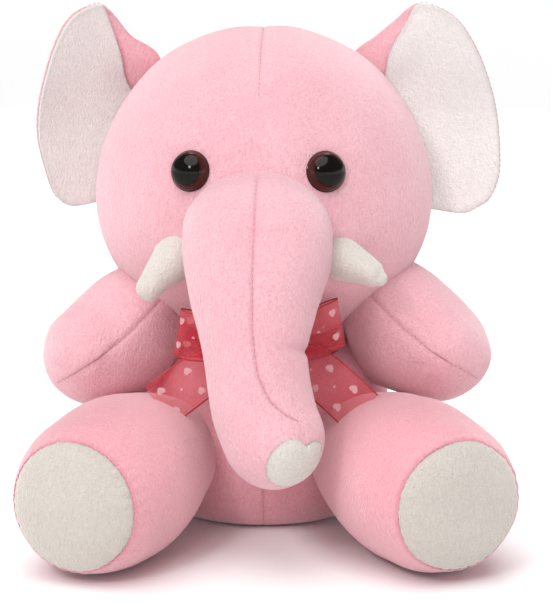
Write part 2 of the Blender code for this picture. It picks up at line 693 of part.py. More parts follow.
def add_knot():
    """The knot in front of the neck: a block with soft edges."""
    mesh = bpy.data.meshes.new("bow_knot")
    shape = bmesh.new()
    bmesh.ops.create_cube(shape, size=1.0)
    bmesh.ops.scale(shape, vec=KNOT_SIZE, verts=shape.verts)
    shape.to_mesh(mesh)
    shape.free()
    knot = add_piece("bow_knot", mesh, RIBBON_RED, 0.45, None, Matrix.Translation(knot_centre()))
    soft = knot.modifiers.new("soft edges", "BEVEL")
    soft.width = 0.3 * KNOT_SIZE.y
    soft.segments = 3


def ribbon_strip(name, outline, cyclic):
    """A ribbon of full width along an outline in the XY plane."""
    mesh = bpy.data.meshes.new(name)
    shape = bmesh.new()
    half = RIBBON_WIDTH / 2.0
    lower = [shape.verts.new((x, y, -half)) for x, y in outline]
    edges = [shape.edges.new(pair) for pair in zip(lower, lower[1:])]
    if cyclic:
        edges.append(shape.edges.new((lower[-1], lower[0])))
    raised = bmesh.ops.extrude_edge_only(shape, edges=edges)
    moved = [item for item in raised["geom"] if isinstance(item, bmesh.types.BMVert)]
    bmesh.ops.translate(shape, vec=(0.0, 0.0, RIBBON_WIDTH), verts=moved)
    bmesh.ops.recalc_face_normals(shape, faces=shape.faces)
    shape.to_mesh(mesh)
    shape.free()
    mesh.shade_smooth()
    return mesh


def add_bow_ends():
    """A loop and a tail on each side of the knot."""
    steps = 16
    for side_name, side in SIDES.items():
        start = knot_centre() + Vector((side * (KNOT_SIZE.x / 2.0 + GAP), 0.0, 0.0))
        outline = []
        for step in range(steps):
            turn = 2.0 * math.pi * step / steps
            reach = 0.5 * (1.0 - math.cos(turn)) * LOOP_LENGTH
            bulge = 0.5 * LOOP_DEPTH * math.sin(turn) * (0.45 + 0.55 * reach / LOOP_LENGTH)
            outline.append((side * (reach + RIBBON), bulge))
        loop_name = f"bow_loop_{side_name}"
        loop_turn = Matrix.Rotation(-side * LOOP_RISE, 4, "Y")
        loop = add_piece(loop_name, ribbon_strip(loop_name, outline, True), RIBBON_RED, 0.45, None,
                         Matrix.Translation(start + Vector((0.0, 0.0, 0.003))) @ loop_turn)
        tail_outline = [(side * BOW_TAIL_LENGTH * share, -0.006 * math.sin(math.pi * share))
                        for share in (0.0, 0.25, 0.5, 0.75, 1.0)]
        tail_name = f"bow_tail_{side_name}"
        tail_turn = Matrix.Rotation(side * BOW_TAIL_DROP, 4, "Y")
        tail_start = knot_centre() + Vector((side * 0.006, -KNOT_SIZE.y / 2.0 - GAP - RIBBON, -0.004))
        tail = add_piece(tail_name, ribbon_strip(tail_name, tail_outline, False), RIBBON_RED, 0.45, None,
                         Matrix.Translation(tail_start) @ tail_turn)
        for piece in (loop, tail):
            ply = piece.modifiers.new("ply", "SOLIDIFY")
            ply.thickness = RIBBON
            ply.offset = 0.0


torso_skin, torso_stuffing = add_torso()
TORSO_PIECES = (torso_skin, torso_stuffing)
neck_hollow = add_neck(TORSO_PIECES)
head_middle, head_skin, head_stuffing = add_head(neck_hollow)
add_eyes(head_middle, head_skin, head_stuffing)
trunk_hollow = add_trunk(head_middle, head_skin, head_stuffing)
add_tusks(head_middle, trunk_hollow)
add_ears(head_middle)
add_arms(TORSO_PIECES)
add_legs(TORSO_PIECES)
add_tail(TORSO_PIECES)
add_neckband()
add_knot()
add_bow_ends()
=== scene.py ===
"""A seated stuffed elephant in short-pile plush, with a sheer ribbon bow around its neck."""
import math

import bmesh
import bpy
import numpy as np
from mathutils import Matrix, Vector, noise
from mathutils.bvhtree import BVHTree
from mathutils.kdtree import KDTree


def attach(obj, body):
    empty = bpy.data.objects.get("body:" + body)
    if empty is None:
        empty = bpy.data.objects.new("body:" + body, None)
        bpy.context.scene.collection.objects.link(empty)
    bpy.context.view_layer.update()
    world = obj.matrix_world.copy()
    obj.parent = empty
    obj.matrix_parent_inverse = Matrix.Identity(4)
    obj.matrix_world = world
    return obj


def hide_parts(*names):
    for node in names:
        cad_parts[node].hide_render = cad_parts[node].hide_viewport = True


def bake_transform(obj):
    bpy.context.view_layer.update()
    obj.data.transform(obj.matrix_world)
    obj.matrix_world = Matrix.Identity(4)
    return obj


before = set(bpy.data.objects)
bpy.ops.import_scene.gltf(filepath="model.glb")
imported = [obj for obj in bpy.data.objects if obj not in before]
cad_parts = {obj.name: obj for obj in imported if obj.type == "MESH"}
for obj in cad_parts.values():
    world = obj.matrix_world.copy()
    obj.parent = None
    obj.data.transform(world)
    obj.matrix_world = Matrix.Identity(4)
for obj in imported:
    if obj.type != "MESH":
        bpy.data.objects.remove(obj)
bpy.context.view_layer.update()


# ---- Torso ---------------------------------------------------------------------------------------
# A pear-shaped bag of pink short-pile plush, sewn from two halves that meet in a seam down the front
# and the back, turned, stuffed firmly and flat where it sits.

TORSO_PROFILE = [           # radius side to side and height
    (0.0, 0.0004), (0.028, 0.0002), (0.046, 0.0004), (0.0555, 0.0040), (0.0618, 0.0130), (0.0655, 0.0280),
    (0.0668, 0.0450), (0.0670, 0.0620), (0.0668, 0.0760), (0.0622, 0.0870), (0.0490, 0.0960),
    (0.0300, 0.1030), (0.0, 0.1050)]
TORSO_FLATTEN = [(0.0, 0.92), (0.050, 0.92), (0.078, 0.83), (0.105, 0.70)]   # height and share of depth
SEAM_DEPTH = 0.0008
SEAM_WIDTH = 0.0011
CLOTH_VOXEL = 0.005
CLOTH_PRESSURE = 4.0
CLOTH_FRAMES = 20
PINK_LIT = (0.820, 0.490, 0.540)
PINK_DEEP = (0.700, 0.285, 0.345)
ROSE_LIT = (0.830, 0.420, 0.470)
ROSE_DEEP = (0.700, 0.250, 0.305)
THREAD_PINK = (0.70, 0.235, 0.310)


class Wire:
    """A node's output that can be used in plain sums."""

    def __init__(self, tree, socket):
        self.tree = tree
        self.socket = socket

    def sum(self, operation, first, second=0.0):
        return add_node(self.tree, "ShaderNodeMath", {"operation": operation}, {0: first, 1: second})

    def __add__(self, other):
        return self.sum("ADD", self, other)

    __radd__ = __add__

    def __mul__(self, other):
        return self.sum("MULTIPLY", self, other)

    __rmul__ = __mul__

    def __sub__(self, other):
        return self.sum("SUBTRACT", self, other)

    def __rsub__(self, other):
        return self.sum("SUBTRACT", other, self)

    def __truediv__(self, other):
        return self.sum("DIVIDE", self, other)

    def __pow__(self, other):
        return self.sum("POWER", self, other)

    def __mod__(self, other):
        return self.sum("FLOORED_MODULO", self, other)

    def __lt__(self, other):
        return self.sum("LESS_THAN", self, other)

    def __gt__(self, other):
        return self.sum("GREATER_THAN", self, other)

    def __abs__(self):
        return self.sum("ABSOLUTE", self)

    def within(self, low, high):
        """0 below low, 1 above high and even between."""
        limits = {0: self, 1: low, 2: high, 3: 0.0, 4: 1.0}
        return add_node(self.tree, "ShaderNodeMapRange", {"clamp": True}, limits)


def add_node(tree, kind, settings, inputs, output=0):
    """A node with its settings, then its inputs' values or wires, by number or name."""
    node = tree.nodes.new(kind)
    for key, value in settings.items():
        if key == "stops":
            ramp = node.color_ramp.elements
            while len(ramp) < len(value):
                ramp.new(0.5)
            for stop, (place, colour) in zip(ramp, value):
                stop.position = place
                stop.color = (*colour, 1.0)
        else:
            setattr(node, key, value)
    for key, value in inputs.items():
        if isinstance(value, Wire):
            tree.links.new(value.socket, node.inputs[key])
        elif isinstance(value, tuple) and len(node.inputs[key].default_value) == 4:
            node.inputs[key].default_value = (*value, 1.0)
        else:
            node.inputs[key].default_value = value
    return Wire(tree, node.outputs[output])


def mix_colours(tree, share, first, second):
    """The first colour where share is 0, the second where it is 1."""
    return add_node(tree, "ShaderNodeMix", {"data_type": "RGBA"}, {0: share, 6: first, 7: second}, 2)


def new_material(name, settings):
    """A Principled material with plain numbers on its sockets, and its tree and shader."""
    material = bpy.data.materials.new(name)
    material.use_nodes = True
    shader = material.node_tree.nodes["Principled BSDF"]
    for key, value in settings.items():
        if isinstance(value, tuple):
            value = (*value, 1.0)
        shader.inputs[key].default_value = value
    return material, material.node_tree, shader


def plush(name, lit, deep, sheen_tint):
    """Short-pile knitted plush: soft mottling where the pile lies differently, a fine grain of pile
    tufts, brushed streaks down the nap, and painted shade in the groove where a seam draws the pile in."""
    settings = {"Roughness": 0.9, "Sheen Weight": 1.0, "Sheen Roughness": 0.5, "Sheen Tint": sheen_tint,
                "Specular IOR Level": 0.25}
    material, tree, shader = new_material(name, settings)
    place = add_node(tree, "ShaderNodeTexCoord", {}, {}, 3)
    patches = add_node(tree, "ShaderNodeTexNoise", {}, {"Vector": place, "Scale": 28.0, "Detail": 3.0})
    nap = add_node(tree, "ShaderNodeMapping", {}, {"Vector": place, "Scale": (1.0, 1.0, 0.38)})
    streaks = add_node(tree, "ShaderNodeTexNoise", {},
                       {"Vector": nap, "Scale": 820.0, "Detail": 2.0, "Roughness": 0.6})
    tufts = add_node(tree, "ShaderNodeTexNoise", {},
                     {"Vector": place, "Scale": 1150.0, "Detail": 2.0, "Roughness": 0.6})
    loops = add_node(tree, "ShaderNodeTexVoronoi", {}, {"Vector": place, "Scale": 900.0})
    seam = add_node(tree, "ShaderNodeAttribute", {"attribute_name": "seam"}, {}, 2)
    shade = (patches - 0.5) * 0.60 + (streaks - 0.5) * 1.10 + (tufts - 0.5) * 1.00 + 0.36
    colour = mix_colours(tree, shade.within(0.0, 1.0), lit, deep)
    # Painted shade: a darker colour along each seam groove and sewn rim, by closeness to the seam.
    drawn = tuple(0.72 * channel for channel in deep)
    colour = mix_colours(tree, seam * 0.40, colour, drawn)
    tree.links.new(colour.socket, shader.inputs["Base Color"])
    rough = 0.82 + patches * 0.14
    tree.links.new(rough.socket, shader.inputs["Roughness"])
    height = tufts * 0.6 + streaks * 0.8 + loops * 0.3
    bump = add_node(tree, "ShaderNodeBump", {},
                    {"Strength": 0.70, "Distance": 0.0014, "Height": height})
    tree.links.new(bump.socket, shader.inputs["Normal"])
    return material


def between(place, table):
    """The value of a table of places and values at a place between its rows."""
    return float(np.interp(place, *zip(*table)))


def smooth_line(points, steps):
    """A line of steps parts between each two points, rounded through them."""
    points = [Vector(point) for point in points]
    ends = [points[0]] + points + [points[-1]]
    line = []
    for before, low, high, after in zip(ends, ends[1:], ends[2:], ends[3:]):
        for step in range(steps):
            share = step / steps
            line.append(0.5 * (2.0 * low + (high - before) * share
                               + (2.0 * before - 5.0 * low + 4.0 * high - after) * share ** 2
                               + (3.0 * low - 3.0 * high + after - before) * share ** 3))
    return line + [points[-1]]


def turns_around(steps, seams, radius):
    """Even turns around a bag, with more of them at its seams so that each groove is crisp."""
    turns = [2.0 * math.pi * step / steps for step in range(steps)]
    close = [0.0, 0.0006, 0.0013, 0.0024, 0.0040]
    near = {seam + side * arc / radius for seam in seams for arc in close for side in (-1.0, 1.0)}
    full = 2.0 * math.pi
    clear = 0.0050 / radius
    kept = [turn for turn in turns
            if all(abs((turn - seam + math.pi) % full - math.pi) > clear for seam in seams)]
    return sorted(turn % full for turn in kept + list(near))


def even(low, high, count):
    """Evenly spaced numbers from low to high."""
    return [low + (high - low) * step / (count - 1) for step in range(count)]


def seam_closeness(turn, seams, radius):
    """1 on a seam, falling to 0 beside it."""
    full = 2.0 * math.pi
    arcs = [abs((turn - seam + math.pi) % full - math.pi) * radius for seam in seams]
    return max((math.exp(-(arc / SEAM_WIDTH) ** 2) for arc in arcs), default=0.0)


def lumps(point, size, height):
    """Gentle unevenness of hand stuffing, the same every time."""
    return height * noise.noise(Vector(point) / size)


def loft(stations, turns, point_at):
    """Rings of points and of closeness to a seam, from what gives both at a station and a turn."""
    made = [[point_at(station, turn) for turn in turns] for station in stations]
    points = [[point for point, near in ring] for ring in made]
    return points, [[near for point, near in ring] for ring in made]


def sew(name, rings, first, last, material, seam=None):
    """A closed bag from rings of points and the points that close its two ends."""
    count = len(rings[0])
    points = [tuple(first)] + [tuple(point) for ring in rings for point in ring] + [tuple(last)]
    faces = []
    for row in range(len(rings) - 1):
        for column in range(count):
            low = 1 + row * count
            after = (column + 1) % count
            faces.append((low + column, low + after, low + count + after, low + count + column))
    end = len(points) - 1
    top = 1 + (len(rings) - 1) * count
    for column in range(count):
        after = (column + 1) % count
        faces.append((0, 1 + after, 1 + column))
        faces.append((end, top + column, top + after))
    mesh = bpy.data.meshes.new(name)
    mesh.from_pydata(points, [], faces)
    shape = bmesh.new()
    shape.from_mesh(mesh)
    if shape.calc_volume(signed=True) < 0.0:
        bmesh.ops.reverse_faces(shape, faces=shape.faces)
    shape.to_mesh(mesh)
    shape.free()
    mesh.shade_smooth()
    # Closeness to a seam, which the plush materials turn into painted shade in the seam grooves and sewn
    # rims.
    closeness = mesh.attributes.new("seam", "FLOAT", "POINT")
    values = [0.0] + ([value for ring in seam for value in ring] if seam else [0.0] * (end - 1)) + [0.0]
    closeness.data.foreach_set("value", values)
    mesh.materials.append(material)
    piece = bpy.data.objects.new(name, mesh)
    bpy.context.scene.collection.objects.link(piece)
    return piece


def plump(piece, cap, seam=None):
    """Swell a copy of a bag as cloth under pressure, and move the bag by how unevenly it swells.

    The average swelling is left out, so that the bag keeps its size. Points close to a seam, given
    as a place and the way across it, are held there. What is left moves no point by more than 0.3 mm,
    so it does not show: the bags' fullness comes from their profiles and lumps.
    """
    scene = bpy.context.scene
    soft = bpy.data.objects.new(f"{piece.name}_soft", piece.data.copy())
    scene.collection.objects.link(soft)
    even_faces = soft.modifiers.new("even faces", "REMESH")
    even_faces.mode = "VOXEL"
    even_faces.voxel_size = CLOTH_VOXEL
    graph = bpy.context.evaluated_depsgraph_get()
    plain = bpy.data.meshes.new_from_object(soft.evaluated_get(graph))
    soft.modifiers.clear()
    soft.data = plain
    cloth = soft.modifiers.new("cloth", "CLOTH")
    cloth.settings.use_pressure = True
    cloth.settings.uniform_pressure_force = CLOTH_PRESSURE
    cloth.settings.effector_weights.gravity = 0.0
    cloth.point_cache.frame_start = 1
    cloth.point_cache.frame_end = CLOTH_FRAMES
    for frame_number in range(1, CLOTH_FRAMES + 1):
        scene.frame_set(frame_number)
    graph = bpy.context.evaluated_depsgraph_get()
    swollen = soft.evaluated_get(graph).to_mesh()
    before = [vertex.co.copy() for vertex in plain.vertices]
    swell = [(vertex.co - start).dot(rest.normal)
             for vertex, start, rest in zip(swollen.vertices, before, plain.vertices)]
    average = sum(swell) / len(swell)
    corners = [tuple(face.vertices) for face in plain.polygons]
    tree = BVHTree.FromPolygons(before, corners)
    for vertex in piece.data.vertices:
        found, way, face, distance = tree.find_nearest(vertex.co)
        if face is None:
            continue
        weights = [1.0 / (1e-6 + (before[corner] - found).length_squared) for corner in corners[face]]
        share = sum(weight * swell[corner] for weight, corner in zip(weights, corners[face])) / sum(weights)
        lift = max(-cap, min(cap, share - average))
        if seam is not None:
            lift *= min(1.0, max(0.0, (seam[0] - vertex.co).dot(seam[1]) / 0.020 - 0.3))
        if vertex.co.z > 0.004:
            vertex.co += vertex.normal * lift
    soft.evaluated_get(graph).to_mesh_clear()
    scene.frame_set(1)
    bpy.data.objects.remove(soft)
    piece.data.update()


def cover(piece, *nodes, start=None, way_out=None, reach_out=0.0):
    """Push a bag out to where its stuffing fills it, so that the plush lies over all of it.

    With a start and a way out, only what lies less than reach_out along it is pushed.
    """
    mesh = piece.data
    reach, pile = 0.012, 0.0010
    points = [vertex.co.copy() for vertex in mesh.vertices]
    ways = [vertex.normal.copy() for vertex in mesh.vertices]
    push = np.zeros(len(points))
    for node_name in nodes:
        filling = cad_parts[node_name].data
        tree = BVHTree.FromPolygons([vertex.co for vertex in filling.vertices],
                                    [tuple(face.vertices) for face in filling.polygons])
        for place, (point, way) in enumerate(zip(points, ways)):
            if start is not None and (point - start).dot(way_out) > reach_out:
                continue
            hit = tree.ray_cast(point + way * reach, -way, reach + 0.002)
            if hit[0] is not None:
                push[place] = max(push[place], reach - hit[3] + pile)
    if not push.any():
        return
    edges = np.zeros(2 * len(mesh.edges), int)
    mesh.edges.foreach_get("vertices", edges)
    edges = edges.reshape(-1, 2)
    joined = np.bincount(edges.ravel(), minlength=len(points))
    eased = push.copy()
    for turn in range(14):
        total = np.bincount(edges[:, 0], eased[edges[:, 1]], len(points))
        total += np.bincount(edges[:, 1], eased[edges[:, 0]], len(points))
        eased = np.maximum(total / joined, push)
    if start is not None:
        along = np.array([(point - start).dot(way_out) for point in points])
        eased *= np.clip((reach_out + 0.010 - along) / 0.010, 0.0, 1.0)
    for vertex, point, way, step in zip(mesh.vertices, points, ways, eased):
        vertex.co = point + way * float(step)
    mesh.update()


def carry(stitches, before, piece):
    """Move stitches along with the bag they are sewn to, from where its points were before."""
    tree = KDTree(len(before))
    for place, point in enumerate(before):
        tree.insert(point, place)
    tree.balance()
    for vertex in stitches.data.vertices:
        place = tree.find(vertex.co)[1]
        vertex.co += piece.data.vertices[place].co - before[place]
    stitches.data.update()


def stitch_tree():
    """Short stitches of thread at even steps along a line."""
    tree = bpy.data.node_groups.new("stitches", "GeometryNodeTree")
    sides = tree.interface
    sides.new_socket("Geometry", in_out="INPUT", socket_type="NodeSocketGeometry")
    for label in ("Pitch", "Length", "Thread"):
        sides.new_socket(label, in_out="INPUT", socket_type="NodeSocketFloat")
    sides.new_socket("Finish", in_out="INPUT", socket_type="NodeSocketMaterial")
    sides.new_socket("Geometry", in_out="OUTPUT", socket_type="NodeSocketGeometry")
    given = tree.nodes.new("NodeGroupInput")
    wire = {socket.name: Wire(tree, socket) for socket in given.outputs if socket.name}
    line = add_node(tree, "GeometryNodeMeshToCurve", {}, {"Mesh": wire["Geometry"]})
    steps = add_node(tree, "GeometryNodeResampleCurve", {"mode": "LENGTH"},
                     {"Curve": line, "Length": wire["Pitch"]})
    along = add_node(tree, "GeometryNodeInputTangent", {}, {})
    turn = add_node(tree, "FunctionNodeAlignRotationToVector", {"axis": "Z"}, {"Vector": along})
    thread = add_node(tree, "GeometryNodeMeshUVSphere", {}, {"Segments": 6, "Rings": 4, "Radius": 1.0})
    size = add_node(tree, "ShaderNodeCombineXYZ", {},
                    {0: wire["Thread"] * 0.5, 1: wire["Thread"] * 0.5, 2: wire["Length"] * 0.5})
    placed = add_node(tree, "GeometryNodeInstanceOnPoints", {},
                      {"Points": steps, "Instance": thread, "Rotation": turn, "Scale": size})
    real = add_node(tree, "GeometryNodeRealizeInstances", {}, {"Geometry": placed})
    smooth = add_node(tree, "GeometryNodeSetShadeSmooth", {}, {"Geometry": real})
    done = add_node(tree, "GeometryNodeSetMaterial", {}, {"Geometry": smooth, "Material": wire["Finish"]})
    result = tree.nodes.new("NodeGroupOutput")
    tree.links.new(done.socket, result.inputs[0])
    return tree


STITCHES = stitch_tree()


def stitch(name, lines, material, pitch=0.0030, length=0.0021, thread=0.00042):
    """A row of stitches along each line of points."""
    mesh = bpy.data.meshes.new(name)
    points, edges = [], []
    for line in lines:
        edges += [(len(points) + step, len(points) + step + 1) for step in range(len(line) - 1)]
        points += [tuple(point) for point in line]
    mesh.from_pydata(points, edges, [])
    row = bpy.data.objects.new(name, mesh)
    bpy.context.scene.collection.objects.link(row)
    modifier = row.modifiers.new("stitches", "NODES")
    modifier.node_group = STITCHES
    sizes = {"Pitch": pitch, "Length": length, "Thread": thread, "Finish": material}
    for socket in STITCHES.interface.items_tree:
        if socket.in_out == "INPUT" and socket.name in sizes:
            modifier[socket.identifier] = sizes[socket.name]
    graph = bpy.context.evaluated_depsgraph_get()
    sewn = bpy.data.meshes.new_from_object(row.evaluated_get(graph))
    row.modifiers.clear()
    row.data = sewn
    bpy.data.meshes.remove(mesh)
    return row


def thread_material(name, colour):
    """Twisted sewing thread: a faint helix of light and dark strands."""
    material, tree, shader = new_material(name, {"Roughness": 0.6, "Sheen Weight": 0.2})
    place = add_node(tree, "ShaderNodeTexCoord", {}, {}, 3)
    twist = add_node(tree, "ShaderNodeTexNoise", {}, {"Vector": place, "Scale": 2600.0})
    dark = tuple(0.6 * channel for channel in colour)
    tree.links.new(mix_colours(tree, twist, colour, dark).socket, shader.inputs["Base Color"])
    return material


PLUSH_PINK = plush("plush_pink", PINK_LIT, PINK_DEEP, (1.0, 0.80, 0.83))
PLUSH_ROSE = plush("plush_rose", ROSE_LIT, ROSE_DEEP, (1.0, 0.74, 0.78))
THREAD = thread_material("sewing_thread_pink", THREAD_PINK)


def sew_torso():
    """The bag and the stitches of its front and back seam."""
    seams = [-math.pi / 2.0, math.pi / 2.0]
    turns = turns_around(132, seams, TORSO_PROFILE[6][0])
    profile = smooth_line([(radius, 0.0, height) for radius, height in TORSO_PROFILE], 7)

    def place(station, turn):
        closeness = seam_closeness(turn, seams, 0.062) * min(1.0, station.x / 0.02)
        radius = station.x - SEAM_DEPTH * closeness
        height = station.z
        depth = between(height, TORSO_FLATTEN) * radius
        point = Vector((radius * math.cos(turn), depth * math.sin(turn), height))
        out = Vector((point.x, point.y, 0.0)).normalized()
        if height > 0.003:
            point += out * lumps(point, 0.022, 0.0007)
        return point, closeness

    rings, close = loft(profile[1:-1], turns, place)
    torso = sew("torso_bag", rings, profile[0], profile[-1], PLUSH_ROSE, close)
    lines = []
    for seam in seams:
        column = min(range(len(turns)), key=lambda step: abs(turns[step] - seam % (2.0 * math.pi)))
        lines.append([ring[column] for ring in rings if 0.006 < ring[column].z < 0.092])
    return torso, stitch("torso_seam_stitches", lines, THREAD)


torso, torso_stitches = sew_torso()
unplumped = [vertex.co.copy() for vertex in torso.data.vertices]
plump(torso, 0.0025)
cover(torso, "torso_stuffing")
carry(torso_stitches, unplumped, torso)
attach(torso, "torso")
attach(torso_stitches, "torso")
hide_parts("torso_skin")


# ---- Stuffings and washers -----------------------------------------------------------------------
# Polyester fibre fills every bag. It stays where the frame has it, out of sight, in a loose white
# tangle, and a flat plastic washer inside the head holds each eye.

def fibre_filling():
    """Tangled white fibre with deep soft dips."""
    material, tree, shader = new_material("fibre_filling", {"Roughness": 1.0, "Sheen Weight": 0.3})
    place = add_node(tree, "ShaderNodeTexCoord", {}, {}, 3)
    tangle = add_node(tree, "ShaderNodeTexNoise", {}, {"Vector": place, "Scale": 320.0, "Detail": 6.0,
                                                      "Distortion": 1.6})
    colour = mix_colours(tree, tangle, (0.92, 0.91, 0.89), (0.70, 0.69, 0.67))
    tree.links.new(colour.socket, shader.inputs["Base Color"])
    bump = add_node(tree, "ShaderNodeBump", {}, {"Strength": 0.7, "Distance": 0.002, "Height": tangle})
    tree.links.new(bump.socket, shader.inputs["Normal"])
    return material


def washer_plastic():
    """Moulded translucent white plastic with faint flow marks."""
    material, tree, shader = new_material("washer_plastic", {"IOR": 1.49})
    place = add_node(tree, "ShaderNodeTexCoord", {}, {}, 3)
    flow = add_node(tree, "ShaderNodeTexNoise", {}, {"Vector": place, "Scale": 260.0, "Distortion": 2.0})
    colour = mix_colours(tree, flow, (0.86, 0.86, 0.84), (0.74, 0.74, 0.72))
    tree.links.new(colour.socket, shader.inputs["Base Color"])
    tree.links.new((0.30 + flow * 0.15).socket, shader.inputs["Roughness"])
    return material


FIBRE = fibre_filling()
WASHER = washer_plastic()
for node_name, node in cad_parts.items():
    if node_name.endswith("_stuffing"):
        node.material_slots[0].material = FIBRE
    elif node_name.startswith("eye_washer"):
        node.material_slots[0].material = WASHER


# ---- Neck ----------------------------------------------------------------------------------------
# A short sleeve of the same plush, drawn in where the head is sewn on. It covers the stuffing that
# joins the head to the torso, and turns and nods between them.

NECK_PROFILE = [(0.0, 0.0740), (0.020, 0.0745), (0.030, 0.0830), (0.0350, 0.0930), (0.0352, 0.1010),
                (0.0340, 0.1100), (0.026, 0.1240), (0.0, 0.1290)]


def sew_neck():
    """The sleeve, with small gathers."""
    turns = [2.0 * math.pi * step / 120 for step in range(120)]
    profile = smooth_line([(radius, 0.0, height) for radius, height in NECK_PROFILE], 5)
    rings = []
    for station in profile[1:-1]:
        ring = []
        for turn in turns:
            radius = station.x - 0.0005 * (1.0 + math.cos(26.0 * turn)) * min(1.0, station.x / 0.03)
            ring.append(Vector((radius * math.cos(turn), radius * math.sin(turn), station.z)))
        rings.append(ring)
    return sew("neck_sleeve", rings, profile[0], profile[-1], PLUSH_PINK)


neck = sew_neck()
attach(neck, "neck")
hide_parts("neck_stuffing")


# ---- Head ----------------------------------------------------------------------------------------
# A big round bag of the pink plush. A seam runs from the forehead over the crown and down the back,
# the eyes pull it in a little, and the trunk is sewn into the middle of the face.

HEAD_MIDDLE = Vector((0.0, 0.0, 0.1706))
HEAD_TURN = Matrix.Rotation(math.radians(-2.0), 4, "Z")
HEAD_SIDE = 0.0895
HEAD_DEPTH = 0.0800
HEAD_CROWN = 0.0905
HEAD_CHIN = 0.0785
EYE_SIDE = 0.0345
EYE_RISE = 0.0235
CROWN_SEAM_END = 0.072      # how high above the widest level the forehead's seam starts


def from_head(point):
    """A point around the middle of the head, put in its place."""
    return HEAD_TURN @ Vector(point) + HEAD_MIDDLE


def on_head(side, rise, depth=0.0, behind=False):
    """The place on the face or on the back of the head at a side distance and a rise, and the way out."""
    height = HEAD_CROWN if rise > 0.0 else HEAD_CHIN
    share = max(0.0, 1.0 - (side / HEAD_SIDE) ** 2 - (rise / height) ** 2)
    front = (1.0 if behind else -1.0) * HEAD_DEPTH * math.sqrt(share)
    point = Vector((side, front, rise))
    out = Vector((side / HEAD_SIDE ** 2, front / HEAD_DEPTH ** 2, rise / height ** 2)).normalized()
    return point + depth * out, out


def dent(point, middle, size, depth):
    """How far a soft dent around a middle draws a point in."""
    return depth * math.exp(-((point - middle).length / size) ** 2)


def head_point(polar, turn):
    """A point of the head, from its left side at polar 0 to its right, and how close its seam is."""
    way = Vector((math.cos(polar), -math.sin(polar) * math.cos(turn), math.sin(polar) * math.sin(turn)))
    height = HEAD_CROWN if way.z > 0.0 else HEAD_CHIN
    point = Vector((HEAD_SIDE * way.x, HEAD_DEPTH * way.y, height * way.z))
    out = Vector((way.x / HEAD_SIDE, way.y / HEAD_DEPTH, way.z / height)).normalized()
    in_front = point.y < 0.0
    seam_share = 1.0 if not in_front else max(0.0, min(1.0, (point.z - CROWN_SEAM_END + 0.006) / 0.010))
    closeness = seam_share * math.exp(-(point.x / SEAM_WIDTH) ** 2)
    inward = 0.8 * SEAM_DEPTH * closeness + 0.0012 * seam_share * math.exp(-(point.x / 0.010) ** 2)
    for side in (-1.0, 1.0):
        eye = on_head(side * EYE_SIDE, EYE_RISE)[0]
        inward += dent(point, eye, 0.0125, 0.0022)
        inward += dent(point, on_head(side * 0.0375, -0.010)[0], 0.0120, 0.0016)
    inward += dent(point, on_head(0.0, 0.032)[0], 0.016, 0.0012)
    cheek = 0.0
    for side in (-1.0, 1.0):
        cheek += dent(point, on_head(side * 0.062, -0.030)[0], 0.030, 0.0016)
    point += out * (cheek - inward + lumps(point, 0.030, 0.0009))
    return from_head(point), closeness


def sew_head():
    """The bag, on rings around the line from ear to ear, and the stitches of its crown seam."""
    middle = math.pi / 2.0
    polars = sorted({math.pi * step / 96 for step in range(1, 96)}
                    | {middle + side * arc / 0.085 for arc in (0.0006, 0.0013, 0.0024, 0.0040)
                       for side in (-1.0, 1.0)})
    columns = 168
    rings, close = loft(polars, [2.0 * math.pi * step / columns for step in range(columns)], head_point)
    ends = from_head((HEAD_SIDE, 0, 0)), from_head((-HEAD_SIDE, 0, 0))
    head = sew("head_bag", rings, *ends, PLUSH_PINK, close)
    seam = [head_point(middle, turn)[0] for turn in even(0.74, 3.9, 130)]
    return head, stitch("head_crown_stitches", [seam], THREAD)


head, head_stitches = sew_head()
cover(head, "head_stuffing")
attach(head, "head")
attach(head_stitches, "head")
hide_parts("head_skin")


# ---- Eyes ----------------------------------------------------------------------------------------
# Moulded plastic domes, black in the middle and dark brown towards the rim, with a narrow flange that
# presses into the pile. A post through the plush holds each in its washer.

EYE_RADIUS = 0.0105
EYE_DOME = 0.0078
EYE_PROFILE = [(0.0, 0.0078), (0.0040, 0.0072), (0.0070, 0.0055), (0.0090, 0.0032), (0.0098, 0.0013),
               (0.0100, 0.0006), (0.0105, 0.0004), (0.0105, -0.0004), (0.0025, -0.0006), (0.0025, -0.0108),
               (0.0, -0.0110)]


def eye_finish():
    """Clear coated plastic, near black with a brown rim."""
    settings = {"Roughness": 0.10, "Coat Weight": 0.20, "Coat Roughness": 0.03, "Specular IOR Level": 0.10}
    material, tree, shader = new_material("eye_plastic", settings)
    rim = add_node(tree, "ShaderNodeAttribute", {"attribute_name": "rim"}, {}, 2)
    stops = [(0.0, (0.0035, 0.0022, 0.0022)), (0.70, (0.005, 0.002, 0.002)), (0.84, (0.060, 0.014, 0.010)),
             (1.0, (0.045, 0.010, 0.008))]
    colour = add_node(tree, "ShaderNodeValToRGB", {"stops": stops}, {"Fac": rim})
    tree.links.new(colour.socket, shader.inputs["Base Color"])
    return material


